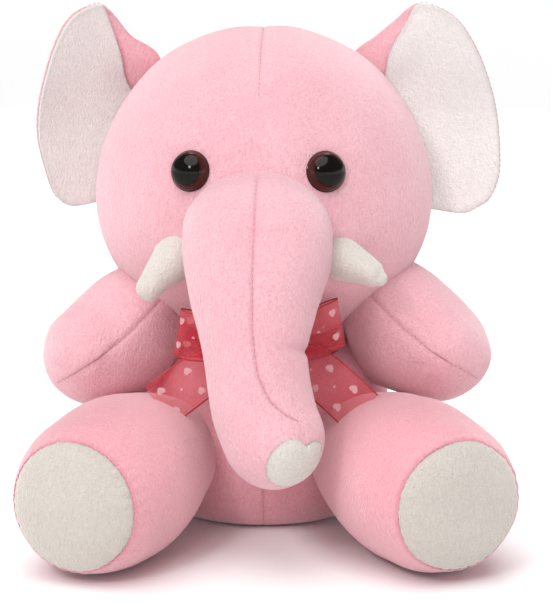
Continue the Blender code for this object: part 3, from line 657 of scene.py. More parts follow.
def mould_eye(name, side, material):
    """A dome, flange and post turned around the way out of the face."""
    point, out = on_head(side * EYE_SIDE, EYE_RISE, -0.0012)
    across = Vector((0.0, 0.0, 1.0)).cross(out).normalized()
    up = out.cross(across)
    dome = [(EYE_RADIUS * 0.952 * math.sin(turn), 0.0006 + (EYE_DOME - 0.0006) * math.cos(turn))
            for turn in even(0.0, math.pi / 2.0, 22)]
    profile = [Vector(place) for place in dome + EYE_PROFILE[6:]]
    rings, rims = [], []
    for radius, height in profile[1:-1]:
        ring = [point + out * height + radius * (math.cos(turn) * across + math.sin(turn) * up)
                for turn in even(0.0, 2.0 * math.pi, 65)[:-1]]
        rings.append([from_head(place) for place in ring])
        rims.append([min(1.0, radius / EYE_RADIUS)] * 64)
    poles = [from_head(point + out * profile[0].y), from_head(point + out * profile[-1].y)]
    eye = sew(name, rings, poles[0], poles[1], material)
    rim = eye.data.attributes.new("rim", "FLOAT", "POINT")
    rim.data.foreach_set("value", [0.0] + [value for ring in rims for value in ring] + [0.0])
    bevel = eye.modifiers.new("soft edge", "BEVEL")
    bevel.width = 0.00015
    bevel.segments = 2
    bevel.limit_method = "ANGLE"
    return eye


EYE_PLASTIC = eye_finish()
for side_name, side in (("left", 1.0), ("right", -1.0)):
    eye = mould_eye(f"eye_dome_{side_name}", side, EYE_PLASTIC)
    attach(eye, "head")
    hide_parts(f"eye_{side_name}")


# ---- Trunk ---------------------------------------------------------------------------------------
# A long tapered bag of pink plush with one seam down its front. It swells where it leaves the face,
# hangs forward and down, and its round end turns to the toy's left, with a white patch sewn on it.

TRUNK_ROOT = Vector((0.0, -0.062, -0.0106))
TRUNK_END = Vector((0.0095, -0.056, -0.091))
TRUNK_HANDLES = (Vector((0.0, -0.0504, -0.02184)), Vector((-0.0038, -0.04592, -0.06552)))
TRUNK_BEND = 0.56
TRUNK_ROOT_BALL = 0.038     # radius of the round start, inside the face
TRUNK_END_BALL = 0.0255
TRUNK_RADII = [             # share of the way and radius
    (0.0, 0.0380), (0.08, 0.0382), (0.162, 0.0366), (0.28, 0.0334), (0.392, 0.0300), (0.482, 0.0274),
    (0.56, 0.0258), (0.70, 0.0254), (0.85, 0.0254), (1.0, 0.0255)]
TRUNK_SEAM_TURN = [(0.0, 0.0), (0.50, 0.0), (0.66, 0.05), (0.80, 0.20), (0.92, 0.42), (1.0, 0.56)]
TRUNK_BROW = [              # share of the way and fullness of the upper corners
    (-0.04, 0.0), (0.0, 0.0006), (0.07, 0.0034), (0.16, 0.0042), (0.30, 0.0016), (0.42, 0.0)]


def trunk_line(share):
    """The trunk's centre at a share of its length, its way, and the sides of its round section."""
    rest = 1.0 - share
    first, second = TRUNK_HANDLES
    centre = 3 * rest * rest * share * first + 3 * rest * share * share * second + share ** 3 * TRUNK_END
    way = (3 * rest * rest * first + 6 * rest * share * (second - first)
           + 3 * share * share * (TRUNK_END - second)).normalized()
    side = Vector((1.0, 0.0, 0.0))
    side = (side - side.dot(way) * way).normalized()
    return centre + TRUNK_ROOT, way, side, way.cross(side)


def trunk_stations():
    """Distances back from the root, along the line and past the end, with the radius at each."""
    root = [(-TRUNK_ROOT_BALL * math.cos(turn), TRUNK_ROOT_BALL * math.sin(turn))
            for turn in even(0.16, 1.5, 12)]
    line = smooth_line([(place, radius, 0.0) for place, radius in TRUNK_RADII], 9)
    body = [(point.x, point.y) for point in line]
    end = [(1.0 + TRUNK_END_BALL * math.sin(turn), TRUNK_END_BALL * math.cos(turn))
           for turn in even(0.10, 1.50, 15)]
    return root + body + end


def trunk_point(station, radius, turn):
    """A point of the trunk, with its front seam, the fold behind its bend and its tip."""
    share = min(max(station, 0.0), 1.0)
    centre, way, side, front = trunk_line(share)
    past = station if station < 0.0 else max(station - 1.0, 0.0)
    shift = between(share, TRUNK_SEAM_TURN)
    round_turn = turn - shift
    out = math.cos(round_turn) * side + math.sin(round_turn) * front
    closeness = math.exp(-(((turn - math.pi / 2.0) * radius) / SEAM_WIDTH) ** 2)
    closeness *= max(0.0, min(1.0, (station + 0.01) / 0.05)) * max(0.0, min(1.0, (1.012 - station) / 0.02))
    swell = lumps(centre + out * radius, 0.020, 0.0008) - SEAM_DEPTH * closeness
    fold = math.exp(-((share - TRUNK_BEND - 0.015) / 0.022) ** 2) * max(0.0, math.cos(round_turn - 0.25)) ** 2
    swell -= 0.0016 * fold
    corner = max(0.0, math.sin(2.0 * round_turn) ** 2) if math.sin(round_turn) > 0.0 else 0.0
    swell += between(station, TRUNK_BROW) * corner * (1.25 if math.cos(round_turn) < 0.0 else 0.9)
    return from_head(centre + past * way + (radius + swell) * out), closeness


def sew_trunk():
    """The bag and the stitches of its front seam."""
    turns = turns_around(96, [math.pi / 2.0], 0.030)
    rings, close = loft(trunk_stations(), turns, lambda station, turn: trunk_point(*station, turn))
    centre, way = trunk_line(0.0)[:2]
    last, last_way = trunk_line(1.0)[:2]
    ends = from_head(centre - TRUNK_ROOT_BALL * way), from_head(last + TRUNK_END_BALL * last_way)
    trunk = sew("trunk_bag", rings, *ends, PLUSH_PINK, close)
    seam = [trunk_point(share, between(share, TRUNK_RADII), math.pi / 2.0)[0]
            for share in even(0.03, 1.0, 120)]
    return trunk, stitch("trunk_seam_stitches", [seam], THREAD)


trunk, trunk_stitches = sew_trunk()
cover(trunk, "trunk_upper_stuffing", "trunk_lower_stuffing")
bend_start = from_head(trunk_line(TRUNK_BEND - 0.20)[0])
bend_end = from_head(trunk_line(TRUNK_BEND + 0.20)[0])
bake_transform(trunk)
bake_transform(trunk_stitches)
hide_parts("trunk_upper_skin", "trunk_lower_skin")


# ---- Trunk tip -----------------------------------------------------------------------------------
# A white plush patch with two lobes, sewn over the front of the trunk's round end. The trunk's seam
# runs into the notch between the lobes.

WHITE_LIT = (0.690, 0.645, 0.600)
WHITE_DEEP = (0.530, 0.485, 0.445)
TIP_MIDDLE = Vector((0.49, -0.79, -0.34)).normalized()
TIP_OUTLINE = [             # turn around the patch in degrees, from straight up to the right, and radius
    (0, 0.0135), (14, 0.0112), (24, 0.0108), (38, 0.0140), (60, 0.0168), (90, 0.0160), (125, 0.0150),
    (160, 0.0145), (195, 0.0150), (230, 0.0158), (265, 0.0158), (300, 0.0160), (330, 0.0158), (350, 0.0148),
    (360, 0.0135)]


def patch_point(share, degrees):
    """A point of the patch on the end's ball, at a share of the way to its rim."""
    middle = trunk_line(1.0)[0]
    right = Vector((0.0, 0.0, 1.0)).cross(TIP_MIDDLE).normalized() * -1.0
    right = right if right.x > 0.0 else -right
    up = TIP_MIDDLE.cross(right)
    up = up if up.z > 0.0 else -up
    reach = share * between(degrees % 360.0, TIP_OUTLINE) / TRUNK_END_BALL
    turn = math.radians(degrees)
    way = math.cos(reach) * TIP_MIDDLE + math.sin(reach) * (math.sin(turn) * right + math.cos(turn) * up)
    puff = 0.0011 * (1.0 - share ** 6) + 0.0002
    pucker = 0.00018 * math.cos(math.radians(degrees) * 22.0) * share ** 8
    return middle + (TRUNK_END_BALL + puff + pucker) * way


def sew_patch(material):
    """The patch as a thin closed bag, with its rim turned in."""
    degrees = even(0.0, 360.0, 133)[:-1]
    rings = [[from_head(patch_point(share, turn)) for turn in degrees]
             for share in (0.12, 0.28, 0.44, 0.58, 0.70, 0.80, 0.88, 0.94, 0.98, 1.0)]
    shrunk = [from_head(0.985 * (patch_point(0.985, turn) - trunk_line(1.0)[0]) + trunk_line(1.0)[0])
              for turn in degrees]
    inside = [from_head(0.965 * (patch_point(0.6, turn) - trunk_line(1.0)[0]) + trunk_line(1.0)[0])
              for turn in degrees]
    centre = trunk_line(1.0)[0]
    # Closeness to the turned-in rim, which paints shade along the patch's edge.
    close = [[0.0] * 132] * 7 + [[0.25] * 132, [0.7] * 132, [1.0] * 132, [1.0] * 132, [0.0] * 132]
    return sew("trunk_tip_patch", rings + [shrunk, inside], from_head(patch_point(0.0, 0.0)),
               from_head(centre + 0.96 * TRUNK_END_BALL * TIP_MIDDLE), material, close)


PLUSH_WHITE = plush("plush_white", WHITE_LIT, WHITE_DEEP, (1.0, 0.97, 0.94))
THREAD_WHITE = thread_material("sewing_thread_white", (0.62, 0.55, 0.53))
patch = sew_patch(PLUSH_WHITE)
rim = [[from_head(patch_point(1.02, turn)) for turn in even(0.0, 360.0, 160)]]
patch_stitches = stitch("trunk_tip_stitches", rim, THREAD_WHITE, 0.0024, 0.0016, 0.00034)
for piece in (patch, patch_stitches):
    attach(piece, "trunk_end")
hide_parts("trunk_tip")


# ---- Tusks ---------------------------------------------------------------------------------------
# Two short white plush horns, each sewn from one piece with a seam beneath, stuffed and curved a
# little. They come out of the cheeks beside the trunk.

TUSKS = {                   # root on the face, the way out, the way it curves, and length
    "left": (0.0420, -0.0215, (0.84, -0.48, -0.22), (0.05, 0.0, -0.45), 0.0232),
    "right": (-0.0430, -0.0225, (-0.58, -0.52, -0.58), (-0.05, 0.0, -0.35), 0.0250),
}
TUSK_RADII = [(-0.30, 0.0108), (0.0, 0.0113), (0.22, 0.0101), (0.48, 0.0084), (0.72, 0.0071), (0.87, 0.0062),
              (0.94, 0.0050), (0.98, 0.0034), (0.995, 0.0016)]


def sew_tusk(name, side, rise, way, curve, length):
    """A curved horn from just inside the cheek to its round tip."""
    root, out = on_head(side, rise)
    way = Vector(way).normalized()
    curve = Vector(curve)

    def axis(share):
        return root + length * (share * way + 0.22 * share * share * curve)

    across = way.cross(Vector((0.0, 1.0, 0.0))).normalized()
    other = way.cross(across)
    turns = turns_around(44, [math.pi * 1.5], 0.009)

    def place(station, turn):
        closeness = seam_closeness(turn, [math.pi * 1.5], max(station.y, 0.004))
        radius = station.y - 0.0005 * closeness
        point = axis(station.x) + radius * (math.cos(turn) * across + math.sin(turn) * other)
        point += (point - axis(station.x)).normalized() * lumps(point, 0.010, 0.0003)
        return from_head(point), 0.6 * closeness

    stations = smooth_line([(share, radius, 0.0) for share, radius in TUSK_RADII], 6)
    rings, close = loft(stations, turns, place)
    return sew(name, rings, from_head(axis(-0.34)), from_head(axis(1.0)), PLUSH_WHITE, close)


for side_name, facts in TUSKS.items():
    tusk = sew_tusk(f"tusk_bag_{side_name}", *facts)
    cover(tusk, f"tusk_{side_name}_stuffing")
    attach(tusk, "head")
    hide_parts(f"tusk_{side_name}_skin")


# ---- Ears ----------------------------------------------------------------------------------------
# Each ear is a white front panel and a pink back panel, sewn around the edge, turned and left flat
# and unstuffed. The pink panel is wider at the top, where it folds round to the crown of the head.

EARS = {                    # how far each ear swings forward, and its edge out from and up the root line
    "left": (10.0, [
        (1.0, -9.0), (12.8, -14.9), (20.4, -17.7), (28.2, -16.6), (35.8, -13.9), (42.9, -5.8), (47.3, 4.2),
        (52.4, 25.1), (54.7, 44.0), (54.3, 63.6), (50.1, 80.5), (42.4, 90.7), (32.2, 96.4)],
        [(24.8, 95.5), (18.0, 92.4), (5.0, 87.4), (-9.2, 82.0), (-17.0, 66.0), (-16.0, 40.0), (-9.0, 8.0)],
        [(22.0, 88.0), (9.5, 77.0), (1.3, 63.9), (-9.0, 52.0), (-12.0, 34.0), (-7.0, 8.0)]),
    "right": (28.0, [
        (2.0, -5.0), (8.4, -9.0), (17.4, -12.8), (25.3, -12.1), (32.5, -6.9), (41.3, 5.3), (48.5, 17.7),
        (53.8, 33.2), (57.4, 51.7), (58.4, 68.0), (56.1, 82.4), (50.2, 90.6), (40.4, 95.6)],
        [(33.5, 94.0), (27.0, 90.6), (15.3, 83.6), (-1.6, 78.4), (-12.0, 62.0), (-14.0, 38.0), (-8.0, 8.0)],
        [(29.0, 85.0), (18.5, 72.5), (9.1, 59.7), (-3.0, 48.0), (-9.0, 32.0), (-6.0, 8.0)]),
}
EAR_ROOT_LOW = Vector((0.0830, 0.010, 0.000))
EAR_ROOT_HIGH = Vector((0.0600, 0.010, 0.066))
EAR_MIDDLE = (0.025, 0.040)
# A lighter copy of the body pink: painted light on the ear backs, which catch the light from above.
PINK_EAR_PAINTED_LIGHT = ((0.930, 0.560, 0.610), (0.840, 0.380, 0.440))


def ear_place(side, forward):
    """The turn and start of an ear: X out, Y up its root line and Z to the front."""
    low = Vector((side * EAR_ROOT_LOW.x, EAR_ROOT_LOW.y, EAR_ROOT_LOW.z))
    high = Vector((side * EAR_ROOT_HIGH.x, EAR_ROOT_HIGH.y, EAR_ROOT_HIGH.z))
    up = (high - low).normalized()
    front = Vector((0.0, -1.0, 0.0))
    across = up.cross(front).normalized()
    turn = Matrix((across, up, front)).transposed().to_4x4()
    return Matrix.Translation(low) @ turn @ Matrix.Rotation(-side * math.radians(forward), 4, "Y")


def ear_cup(out, up):
    """How far forward the flat panel stands: hollow in the middle, curled at its outer edge, and with
    a soft pleat that runs out from the root."""
    edge = math.hypot((out - 0.020) / 0.040, (up - 0.040) / 0.062)
    curl = 0.0095 * min(1.3, edge) ** 2 - 0.0085
    off_pleat = (up - 0.060 - 0.55 * (out - 0.010)) / 0.007
    pleat = -0.0022 * math.exp(-off_pleat ** 2) * math.exp(-(max(0.0, out - 0.004) / 0.022) ** 2)
    wave = 0.0010 * math.sin(95.0 * up + 40.0 * out)
    return curl + pleat + wave


def cut_panel(name, side, place, edge, front_shift, back_shift, puff, material):
    """A closed thin panel inside an edge, from its front face to its back face."""
    edge = [Vector((out / 1000.0, up / 1000.0, 0.0)) for out, up in edge]
    line = smooth_line(edge + [edge[0]], 9)[:-1]
    middle = Vector((*EAR_MIDDLE, 0.0))
    shares = [0.10, 0.20, 0.30, 0.40, 0.50, 0.60, 0.70, 0.78, 0.85, 0.90, 0.94, 0.97, 0.99, 1.0]

    def face_point(share, rim, shift, swell):
        flat = middle.lerp(rim, share)
        rise = ear_cup(flat.x, flat.y) + shift + swell * (1.0 - share ** 5)
        rise += 0.00022 * math.cos(900.0 * (rim.x + rim.y)) * share ** 10
        return place @ Vector((side * flat.x, flat.y, rise))

    faces = []
    for shift, swell, order in ((front_shift, puff, shares), (back_shift, -puff, shares[::-1])):
        for share in order:
            rolled = 0.5 * (front_shift + back_shift) if share > 0.995 else shift
            faces.append([face_point(share, rim, rolled, swell) for rim in line])
    del faces[len(shares)]
    # Closeness to the sewn rim, which paints shade along the ear's rolled edge.
    values = [max(0.0, (share - 0.93) / 0.07) for share in shares]
    close = [[value] * len(line) for value in values + values[::-1][1:]]
    first = face_point(0.0, line[0], front_shift, puff)
    last = face_point(0.0, line[0], back_shift, -puff)
    return sew(name, faces, first, last, material, close), [face_point(1.004, rim, 0.0, 0.0) for rim in line]


# A lighter copy of the white plush used on the tusks and trunk tip: painted light on the forward-facing ear
# fronts.
PLUSH_EAR_WHITE_PAINTED_LIGHT = plush("plush_ear_white_painted_light", (0.86, 0.84, 0.82), (0.70, 0.67, 0.65), (1.0, 0.98, 0.96))
PLUSH_EAR_PINK_PAINTED_LIGHT = plush("plush_ear_pink_painted_light", *PINK_EAR_PAINTED_LIGHT, (1.0, 0.80, 0.83))
for side_name, side in (("left", 1.0), ("right", -1.0)):
    forward, outer, top_fold, white_edge = EARS[side_name]
    place = HEAD_TURN @ Matrix.Translation(Vector((0.0, 0.0, HEAD_MIDDLE.z))) @ ear_place(side, forward)
    front, front_rim = cut_panel(f"ear_panel_front_{side_name}", side, place, outer + white_edge,
                                 0.0030, 0.0004, 0.0007, PLUSH_EAR_WHITE_PAINTED_LIGHT)
    back, back_rim = cut_panel(f"ear_panel_back_{side_name}", side, place, outer + top_fold,
                               0.0001, -0.0028, 0.0006, PLUSH_EAR_PINK_PAINTED_LIGHT)
    ear_stitches = stitch(f"ear_stitches_{side_name}", [front_rim + front_rim[:1]], THREAD_WHITE,
                          0.0030, 0.0019, 0.00032)
    for piece in (front, back, ear_stitches):
        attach(piece, f"ear_{side_name}")
    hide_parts(f"ear_{side_name}_front")
    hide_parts(f"ear_{side_name}_back")


# ---- Arms ----------------------------------------------------------------------------------------
# Two mitten-shaped bags without fingers, each of an upper and a lower panel. The seam between them
# runs down the front as a soft ridge and comes to a slight point at the end of the paw.

ARMS = {                    # shoulder, end of the paw
    "left": (Vector((0.0590, -0.0170, 0.1205)), Vector((0.1125, -0.0500, 0.0815))),
    "right": (Vector((-0.0580, -0.0170, 0.1165)), Vector((-0.1085, -0.0500, 0.0790))),
}
ARM_RADII = [               # share of the length, half width along the seam's plane and across it
    (-0.20, 0.0100, 0.0100), (-0.12, 0.0185, 0.0185), (0.0, 0.0240, 0.0248), (0.15, 0.0268, 0.0288),
    (0.30, 0.0282, 0.0305), (0.45, 0.0286, 0.0304), (0.60, 0.0274, 0.0286), (0.75, 0.0242, 0.0250),
    (0.88, 0.0185, 0.0190), (0.96, 0.0115, 0.0116), (0.992, 0.0050, 0.0050)]


def sew_arm(name, shoulder, paw):
    """The bag and its front and back seams."""
    way = (paw - shoulder).normalized()
    front = Vector((0.0, -1.0, 0.12))
    front = (front - front.dot(way) * way).normalized()
    across = way.cross(front)
    length = (paw - shoulder).length
    seams = [0.0, math.pi]
    turns = turns_around(104, seams, 0.026)

    def place(station, turn):
        arc = abs((turn + math.pi) % (2.0 * math.pi) - math.pi)
        arc = min(arc, math.pi - arc)
        closeness = seam_closeness(turn, seams, max(station.y, 0.010))
        bend = Vector((0.0, 0.0, -0.0046)) * math.sin(math.pi * max(0.0, station.x))
        centre = shoulder + station.x * length * way + bend
        out = math.cos(turn) * front * station.y + math.sin(turn) * across * station.z
        ridge = 0.0011 * math.exp(-(arc / 0.30) ** 2) - 0.9 * SEAM_DEPTH * closeness
        return centre + out + out.normalized() * (ridge + lumps(centre + out, 0.017, 0.0009)), closeness

    rings, close = loft(smooth_line(ARM_RADII, 7), turns, place)
    arm = sew(name, rings, shoulder - 0.225 * length * way, paw, PLUSH_PINK, close)
    lines = []
    for seam in seams:
        column = min(range(len(turns)), key=lambda step: abs(turns[step] - seam))
        lines.append([ring[column] for ring in rings[8:]])
    return arm, stitch(f"{name}_stitches", lines, THREAD)


for side_name, ends in ARMS.items():
    arm, arm_stitches = sew_arm(f"arm_bag_{side_name}", *ends)
    unplumped = [vertex.co.copy() for vertex in arm.data.vertices]
    plump(arm, 0.0020)
    cover(arm, f"arm_{side_name}_stuffing")
    carry(arm_stitches, unplumped, arm)
    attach(arm, f"arm_{side_name}")
    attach(arm_stitches, f"arm_{side_name}")
    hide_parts(f"arm_{side_name}_skin")


# ---- Legs ----------------------------------------------------------------------------------------
# Thick pink plush legs that lie on the floor and spread forward. Each ends in a round white sole,
# whose edge is puckered where the wider leg is gathered onto it.

LEGS = {                    # hip, splay in degrees
    "left": (Vector((0.0545, -0.0432, 0.0405)), 22.8),
    "right": (Vector((-0.0545, -0.0432, 0.0405)), 20.8),
}
LEG_PROFILE = [             # distance from the hip and radius
    (-0.0250, 0.0), (-0.0235, 0.0100), (-0.0170, 0.0210), (-0.0040, 0.0300), (0.0120, 0.0352),
    (0.0320, 0.0394), (0.0540, 0.0418), (0.0740, 0.0412), (0.0890, 0.0388), (0.0980, 0.0358),
    (0.1030, 0.0338), (0.1043, 0.0326), (0.1042, 0.0316), (0.1022, 0.0308), (0.0990, 0.0)]
SOLE_PROFILE = [            # distance from the hip and radius
    (0.1000, 0.0), (0.1012, 0.0290), (0.1028, 0.0312), (0.1043, 0.0321), (0.1060, 0.0315), (0.1083, 0.0288),
    (0.1107, 0.0226), (0.1123, 0.0132), (0.1131, 0.0)]
PUCKERS = 38
# A darker copy of the white plush used on the tusks and trunk tip: painted shade on the low, forward-facing
# soles.
PLUSH_SOLE_PAINTED_SHADE = plush("plush_sole_painted_shade", (0.600, 0.550, 0.510), (0.460, 0.410, 0.370), (1.0, 0.95, 0.90))


def leg_rings(profile, hip, splay, side, steps, rim):
    """Rings around a leg, drawn into puckers near its rim and flat where it lies on the floor."""
    angle = math.radians(splay)
    way = Vector((side * math.sin(angle), -math.cos(angle), 0.0))
    across = Vector((way.y, -way.x, 0.0))
    up = Vector((0.0, 0.0, 1.0))
    line = smooth_line([(distance, radius, 0.0) for distance, radius in profile], steps)
    rings, close = [], []
    for station in line[1:-1]:
        ring, near = [], []
        gather = math.exp(-((station.x - rim) / 0.0058) ** 2)
        closeness = math.exp(-((station.x - rim) / 0.0011) ** 2)
        for step in range(228):
            turn = 2.0 * math.pi * step / 228
            pucker = math.cos(PUCKERS * turn + 0.9 * math.sin(3.0 * turn)) + 0.4 * math.cos(23.0 * turn)
            drawn = gather * (1.0 - 0.85 * closeness) * min(1.0, station.y / 0.02)
            radius = station.y + 0.00030 * pucker * drawn
            point = hip + station.x * way + radius * (math.cos(turn) * across + math.sin(turn) * up)
            out = (point - hip - station.x * way).normalized()
            point += out * lumps(point, 0.024, 0.0010)
            floor = 0.0008
            if point.z < floor + 0.0022:
                point.z = floor + 0.0022 * math.exp((point.z - floor - 0.0022) / 0.0022)
            ring.append(point)
            near.append(closeness)
        rings.append(ring)
        close.append(near)
    return rings, close, hip + profile[0][0] * way, hip + profile[-1][0] * way, way


for side_name, side in (("left", 1.0), ("right", -1.0)):
    hip, splay = LEGS[side_name]
    rings, close, first, last, way = leg_rings(LEG_PROFILE, hip, splay, side, 6, 0.1042)
    leg = sew(f"leg_bag_{side_name}", rings, first, last, PLUSH_ROSE, close)
    rings, close, first, last, way = leg_rings(SOLE_PROFILE, hip, splay, side, 5, 0.1040)
    sole = sew(f"leg_sole_{side_name}", rings, first, last, PLUSH_SOLE_PAINTED_SHADE, close)
    across = Vector((way.y, -way.x, 0.0))
    up = Vector((0.0, 0.0, 1.0))
    seam = [hip + 0.1045 * way + 0.0323 * (math.cos(turn) * across + math.sin(turn) * up)
            for turn in even(0.0, 2.0 * math.pi, 220)]
    sole_stitches = stitch(f"sole_stitches_{side_name}", [seam], THREAD, 0.0026, 0.0018, 0.0004)
    plump(leg, 0.0025, seam=(hip + 0.1045 * way, way))
    cover(leg, f"leg_{side_name}_stuffing", start=hip, way_out=way, reach_out=0.085)
    for piece in (leg, sole, sole_stitches):
        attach(piece, f"leg_{side_name}")
    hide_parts(f"leg_{side_name}_skin")
    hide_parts(f"leg_{side_name}_sole")


# ---- Tail ----------------------------------------------------------------------------------------
# A short thin tail of pink plush, sewn into the torso's back seam just above the seat.

TAIL_ROOT = Vector((0.0, 0.0601, 0.0300))
TAIL_WAY = Vector((0.0, 0.55, -0.60)).normalized()
TAIL_RADII = [(-0.0060, 0.0030), (-0.0020, 0.0064), (0.0060, 0.0066), (0.0150, 0.0058), (0.0240, 0.0049),
              (0.0290, 0.0046), (0.0322, 0.0036), (0.0338, 0.0018)]


def sew_tail():
    """A tapered bag with a seam on its upper side."""
    across = Vector((1.0, 0.0, 0.0))
    up = across.cross(TAIL_WAY)
    turns = turns_around(36, [math.pi / 2.0], 0.006)

    def place(station, turn):
        closeness = seam_closeness(turn, [math.pi / 2.0], 0.006)
        radius = station.y - 0.0004 * closeness
        centre = TAIL_ROOT + station.x * TAIL_WAY
        point = centre + radius * (math.cos(turn) * across + math.sin(turn) * up)
        point.z += -0.0022 * (station.x / 0.034) ** 2
        point += (point - TAIL_ROOT - station.x * TAIL_WAY).normalized() * lumps(point, 0.009, 0.0004)
        return point, 0.7 * closeness

    stations = smooth_line([(distance, radius, 0.0) for distance, radius in TAIL_RADII], 6)
    rings, close = loft(stations, turns, place)
    tip = TAIL_ROOT + 0.0342 * TAIL_WAY + Vector((0.0, 0.0, -0.0022))
    return sew("tail_bag", rings, TAIL_ROOT - 0.007 * TAIL_WAY, tip, PLUSH_PINK, close)


tail = sew_tail()
cover(tail, "tail_stuffing")
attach(tail, "tail")
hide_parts("tail_skin")


# ---- Ribbon bow ----------------------------------------------------------------------------------
# A red organza ribbon, 25 mm wide with a woven edge and a scatter of small pale hearts and dots. It
# is gathered round the neck and tied in a bow of two loops and two tails under the trunk.

RIBBON_WIDTH = 0.0250
KNOT_MIDDLE = Vector((-0.003, -0.0648, 0.0995))
NECKBAND_SLOPE = math.radians(41)
ORGANZA_RED = (0.900, 0.048, 0.085)
ORGANZA_DEEP = (0.420, 0.008, 0.020)
ORGANZA_PALE = (0.950, 0.640, 0.640)


def organza():
    """Sheer ribbon: see-through, and solid at its woven edges and its print. It has no thread pattern:
    the drift is one slow wave over the ribbon's whole length and width."""
    settings = {"Roughness": 0.42, "Sheen Weight": 0.35, "Specular IOR Level": 0.5}
    material, tree, shader = new_material("ribbon_organza", settings)
    cloth = add_node(tree, "ShaderNodeUVMap", {"uv_map": "cloth"}, {})
    split = add_node(tree, "ShaderNodeSeparateXYZ", {}, {0: cloth})
    along, across = split, Wire(tree, split.socket.node.outputs[1])
    edge = abs(across).within(0.0115, 0.0119)
    hem = abs(abs(across) - 0.0104).within(0.0, 0.0003)
    warp = add_node(tree, "ShaderNodeTexNoise", {}, {"Vector": cloth, "Scale": 90.0, "Detail": 2.0})
    drift = along.sum("SINE", along) * 0.5 + across.sum("SINE", across) * 0.5
    cell_x = ((along + 0.004) % 0.0150) - 0.0075
    cell_y = ((across + 0.0125) % 0.0125) - 0.00625
    size = 0.0017
    heart_x = cell_x / size
    heart_y = cell_y / size
    ball = heart_x * heart_x + heart_y * heart_y - 1.0
    heart = (ball * ball * ball - heart_x * heart_x * heart_y * heart_y * heart_y) < 0.0
    dot_x = ((along + 0.0115) % 0.0150) - 0.0075
    dot_y = ((across + 0.0187) % 0.0125) - 0.00625
    dot = (dot_x * dot_x + dot_y * dot_y) < 0.00000045
    printed = heart.sum("MAXIMUM", heart, dot)
    printed = printed * (abs(across) < 0.0092)
    colour = mix_colours(tree, warp.within(0.3, 0.7), ORGANZA_RED, tuple(0.85 * c for c in ORGANZA_RED))
    colour = mix_colours(tree, edge, colour, ORGANZA_DEEP)
    colour = mix_colours(tree, printed * 0.85, colour, ORGANZA_PALE)
    tree.links.new(colour.socket, shader.inputs["Base Color"])
    alpha = 0.22 + edge * 0.66 + (1.0 - hem) * 0.10 + printed * 0.30 + drift * 0.04
    tree.links.new(alpha.within(0.0, 1.0).socket, shader.inputs["Alpha"])
    bump = add_node(tree, "ShaderNodeBump", {}, {"Strength": 0.25, "Distance": 0.0002, "Height": drift})
    tree.links.new(bump.socket, shader.inputs["Normal"])
    return material


def ribbon(name, rows, length, thickness=0.00024, width=RIBBON_WIDTH):
    """A strip from rows of points across it, with its cloth's real measures as UV."""
    count = len(rows[0])
    points = [tuple(point) for row in rows for point in row]
    faces = [(low + step, low + step + 1, low + count + step + 1, low + count + step)
             for low in range(0, (len(rows) - 1) * count, count) for step in range(count - 1)]
    mesh = bpy.data.meshes.new(name)
    mesh.from_pydata(points, [], faces)
    cloth = mesh.uv_layers.new(name="cloth")
    for loop in mesh.loops:
        row, step = divmod(loop.vertex_index, count)
        cloth.uv[loop.index].vector = (length * row / (len(rows) - 1), width * (step / (count - 1) - 0.5))
    mesh.shade_smooth()
    mesh.materials.append(ORGANZA)
    piece = bpy.data.objects.new(name, mesh)
    bpy.context.scene.collection.objects.link(piece)
    ply = piece.modifiers.new("ply", "SOLIDIFY")
    ply.thickness = thickness
    ply.offset = 0.0
    return piece


def gathered_rows(line, ups, widths, fronts, folds=4.0, columns=41):
    """Rows across a ribbon along a line, gathered into folds where they are narrower than the ribbon."""
    rows = []
    for centre, up, width, front in zip(line, ups, widths, fronts):
        slack = math.sqrt(max(0.0, (RIBBON_WIDTH / width) ** 2 - 1.0))
        depth = min(0.0016, slack * width / (2.0 * folds) * 0.45)
        row = []
        for step in range(columns):
            share = step / (columns - 1) - 0.5
            fold = depth * math.sin(2.0 * math.pi * folds * share)
            row.append(centre + up * width * share + front * fold)
        rows.append(row)
    return rows


ORGANZA = organza()
LOOPS = {"left": (0.0400, 0.0165), "right": (-0.0440, 0.0110)}     # reach and rise of the outer end
FACING = Vector((0.0, -1.0, 0.0))
for side_name, (reach, rise) in LOOPS.items():
    side = math.copysign(1.0, reach)
    start = KNOT_MIDDLE + Vector((side * 0.0060, 0.0, 0.0015))
    end = Vector((reach, KNOT_MIDDLE.y - 0.0015, KNOT_MIDDLE.z + rise))
    line, ups, widths, fronts = [], [], [], []
    lean = Vector((-side * 0.16, 0.0, 1.0)).normalized()
    for step in range(61):
        turn = 2.0 * math.pi * step / 60
        out = 0.5 * (1.0 - math.cos(turn))
        bulge = 0.0058 * math.sin(turn) * (0.35 + 0.65 * out)
        line.append(start.lerp(end, out) + FACING * bulge)
        ups.append(lean)
        widths.append(0.0105 + (RIBBON_WIDTH - 0.0105) * min(1.0, out * 1.25) ** 0.75)
        fronts.append(FACING if abs(math.sin(turn)) > 0.2 else Vector((side, 0.0, 0.0)) * 0.3 + FACING)
    loop_rows = gathered_rows(line, ups, widths, fronts)
    loop_length = sum((high - low).length for low, high in zip(line, line[1:]))
    loop = ribbon(f"bow_loop_ribbon_{side_name}", loop_rows, loop_length)
    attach(loop, "torso")
    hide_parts(f"bow_loop_{side_name}")

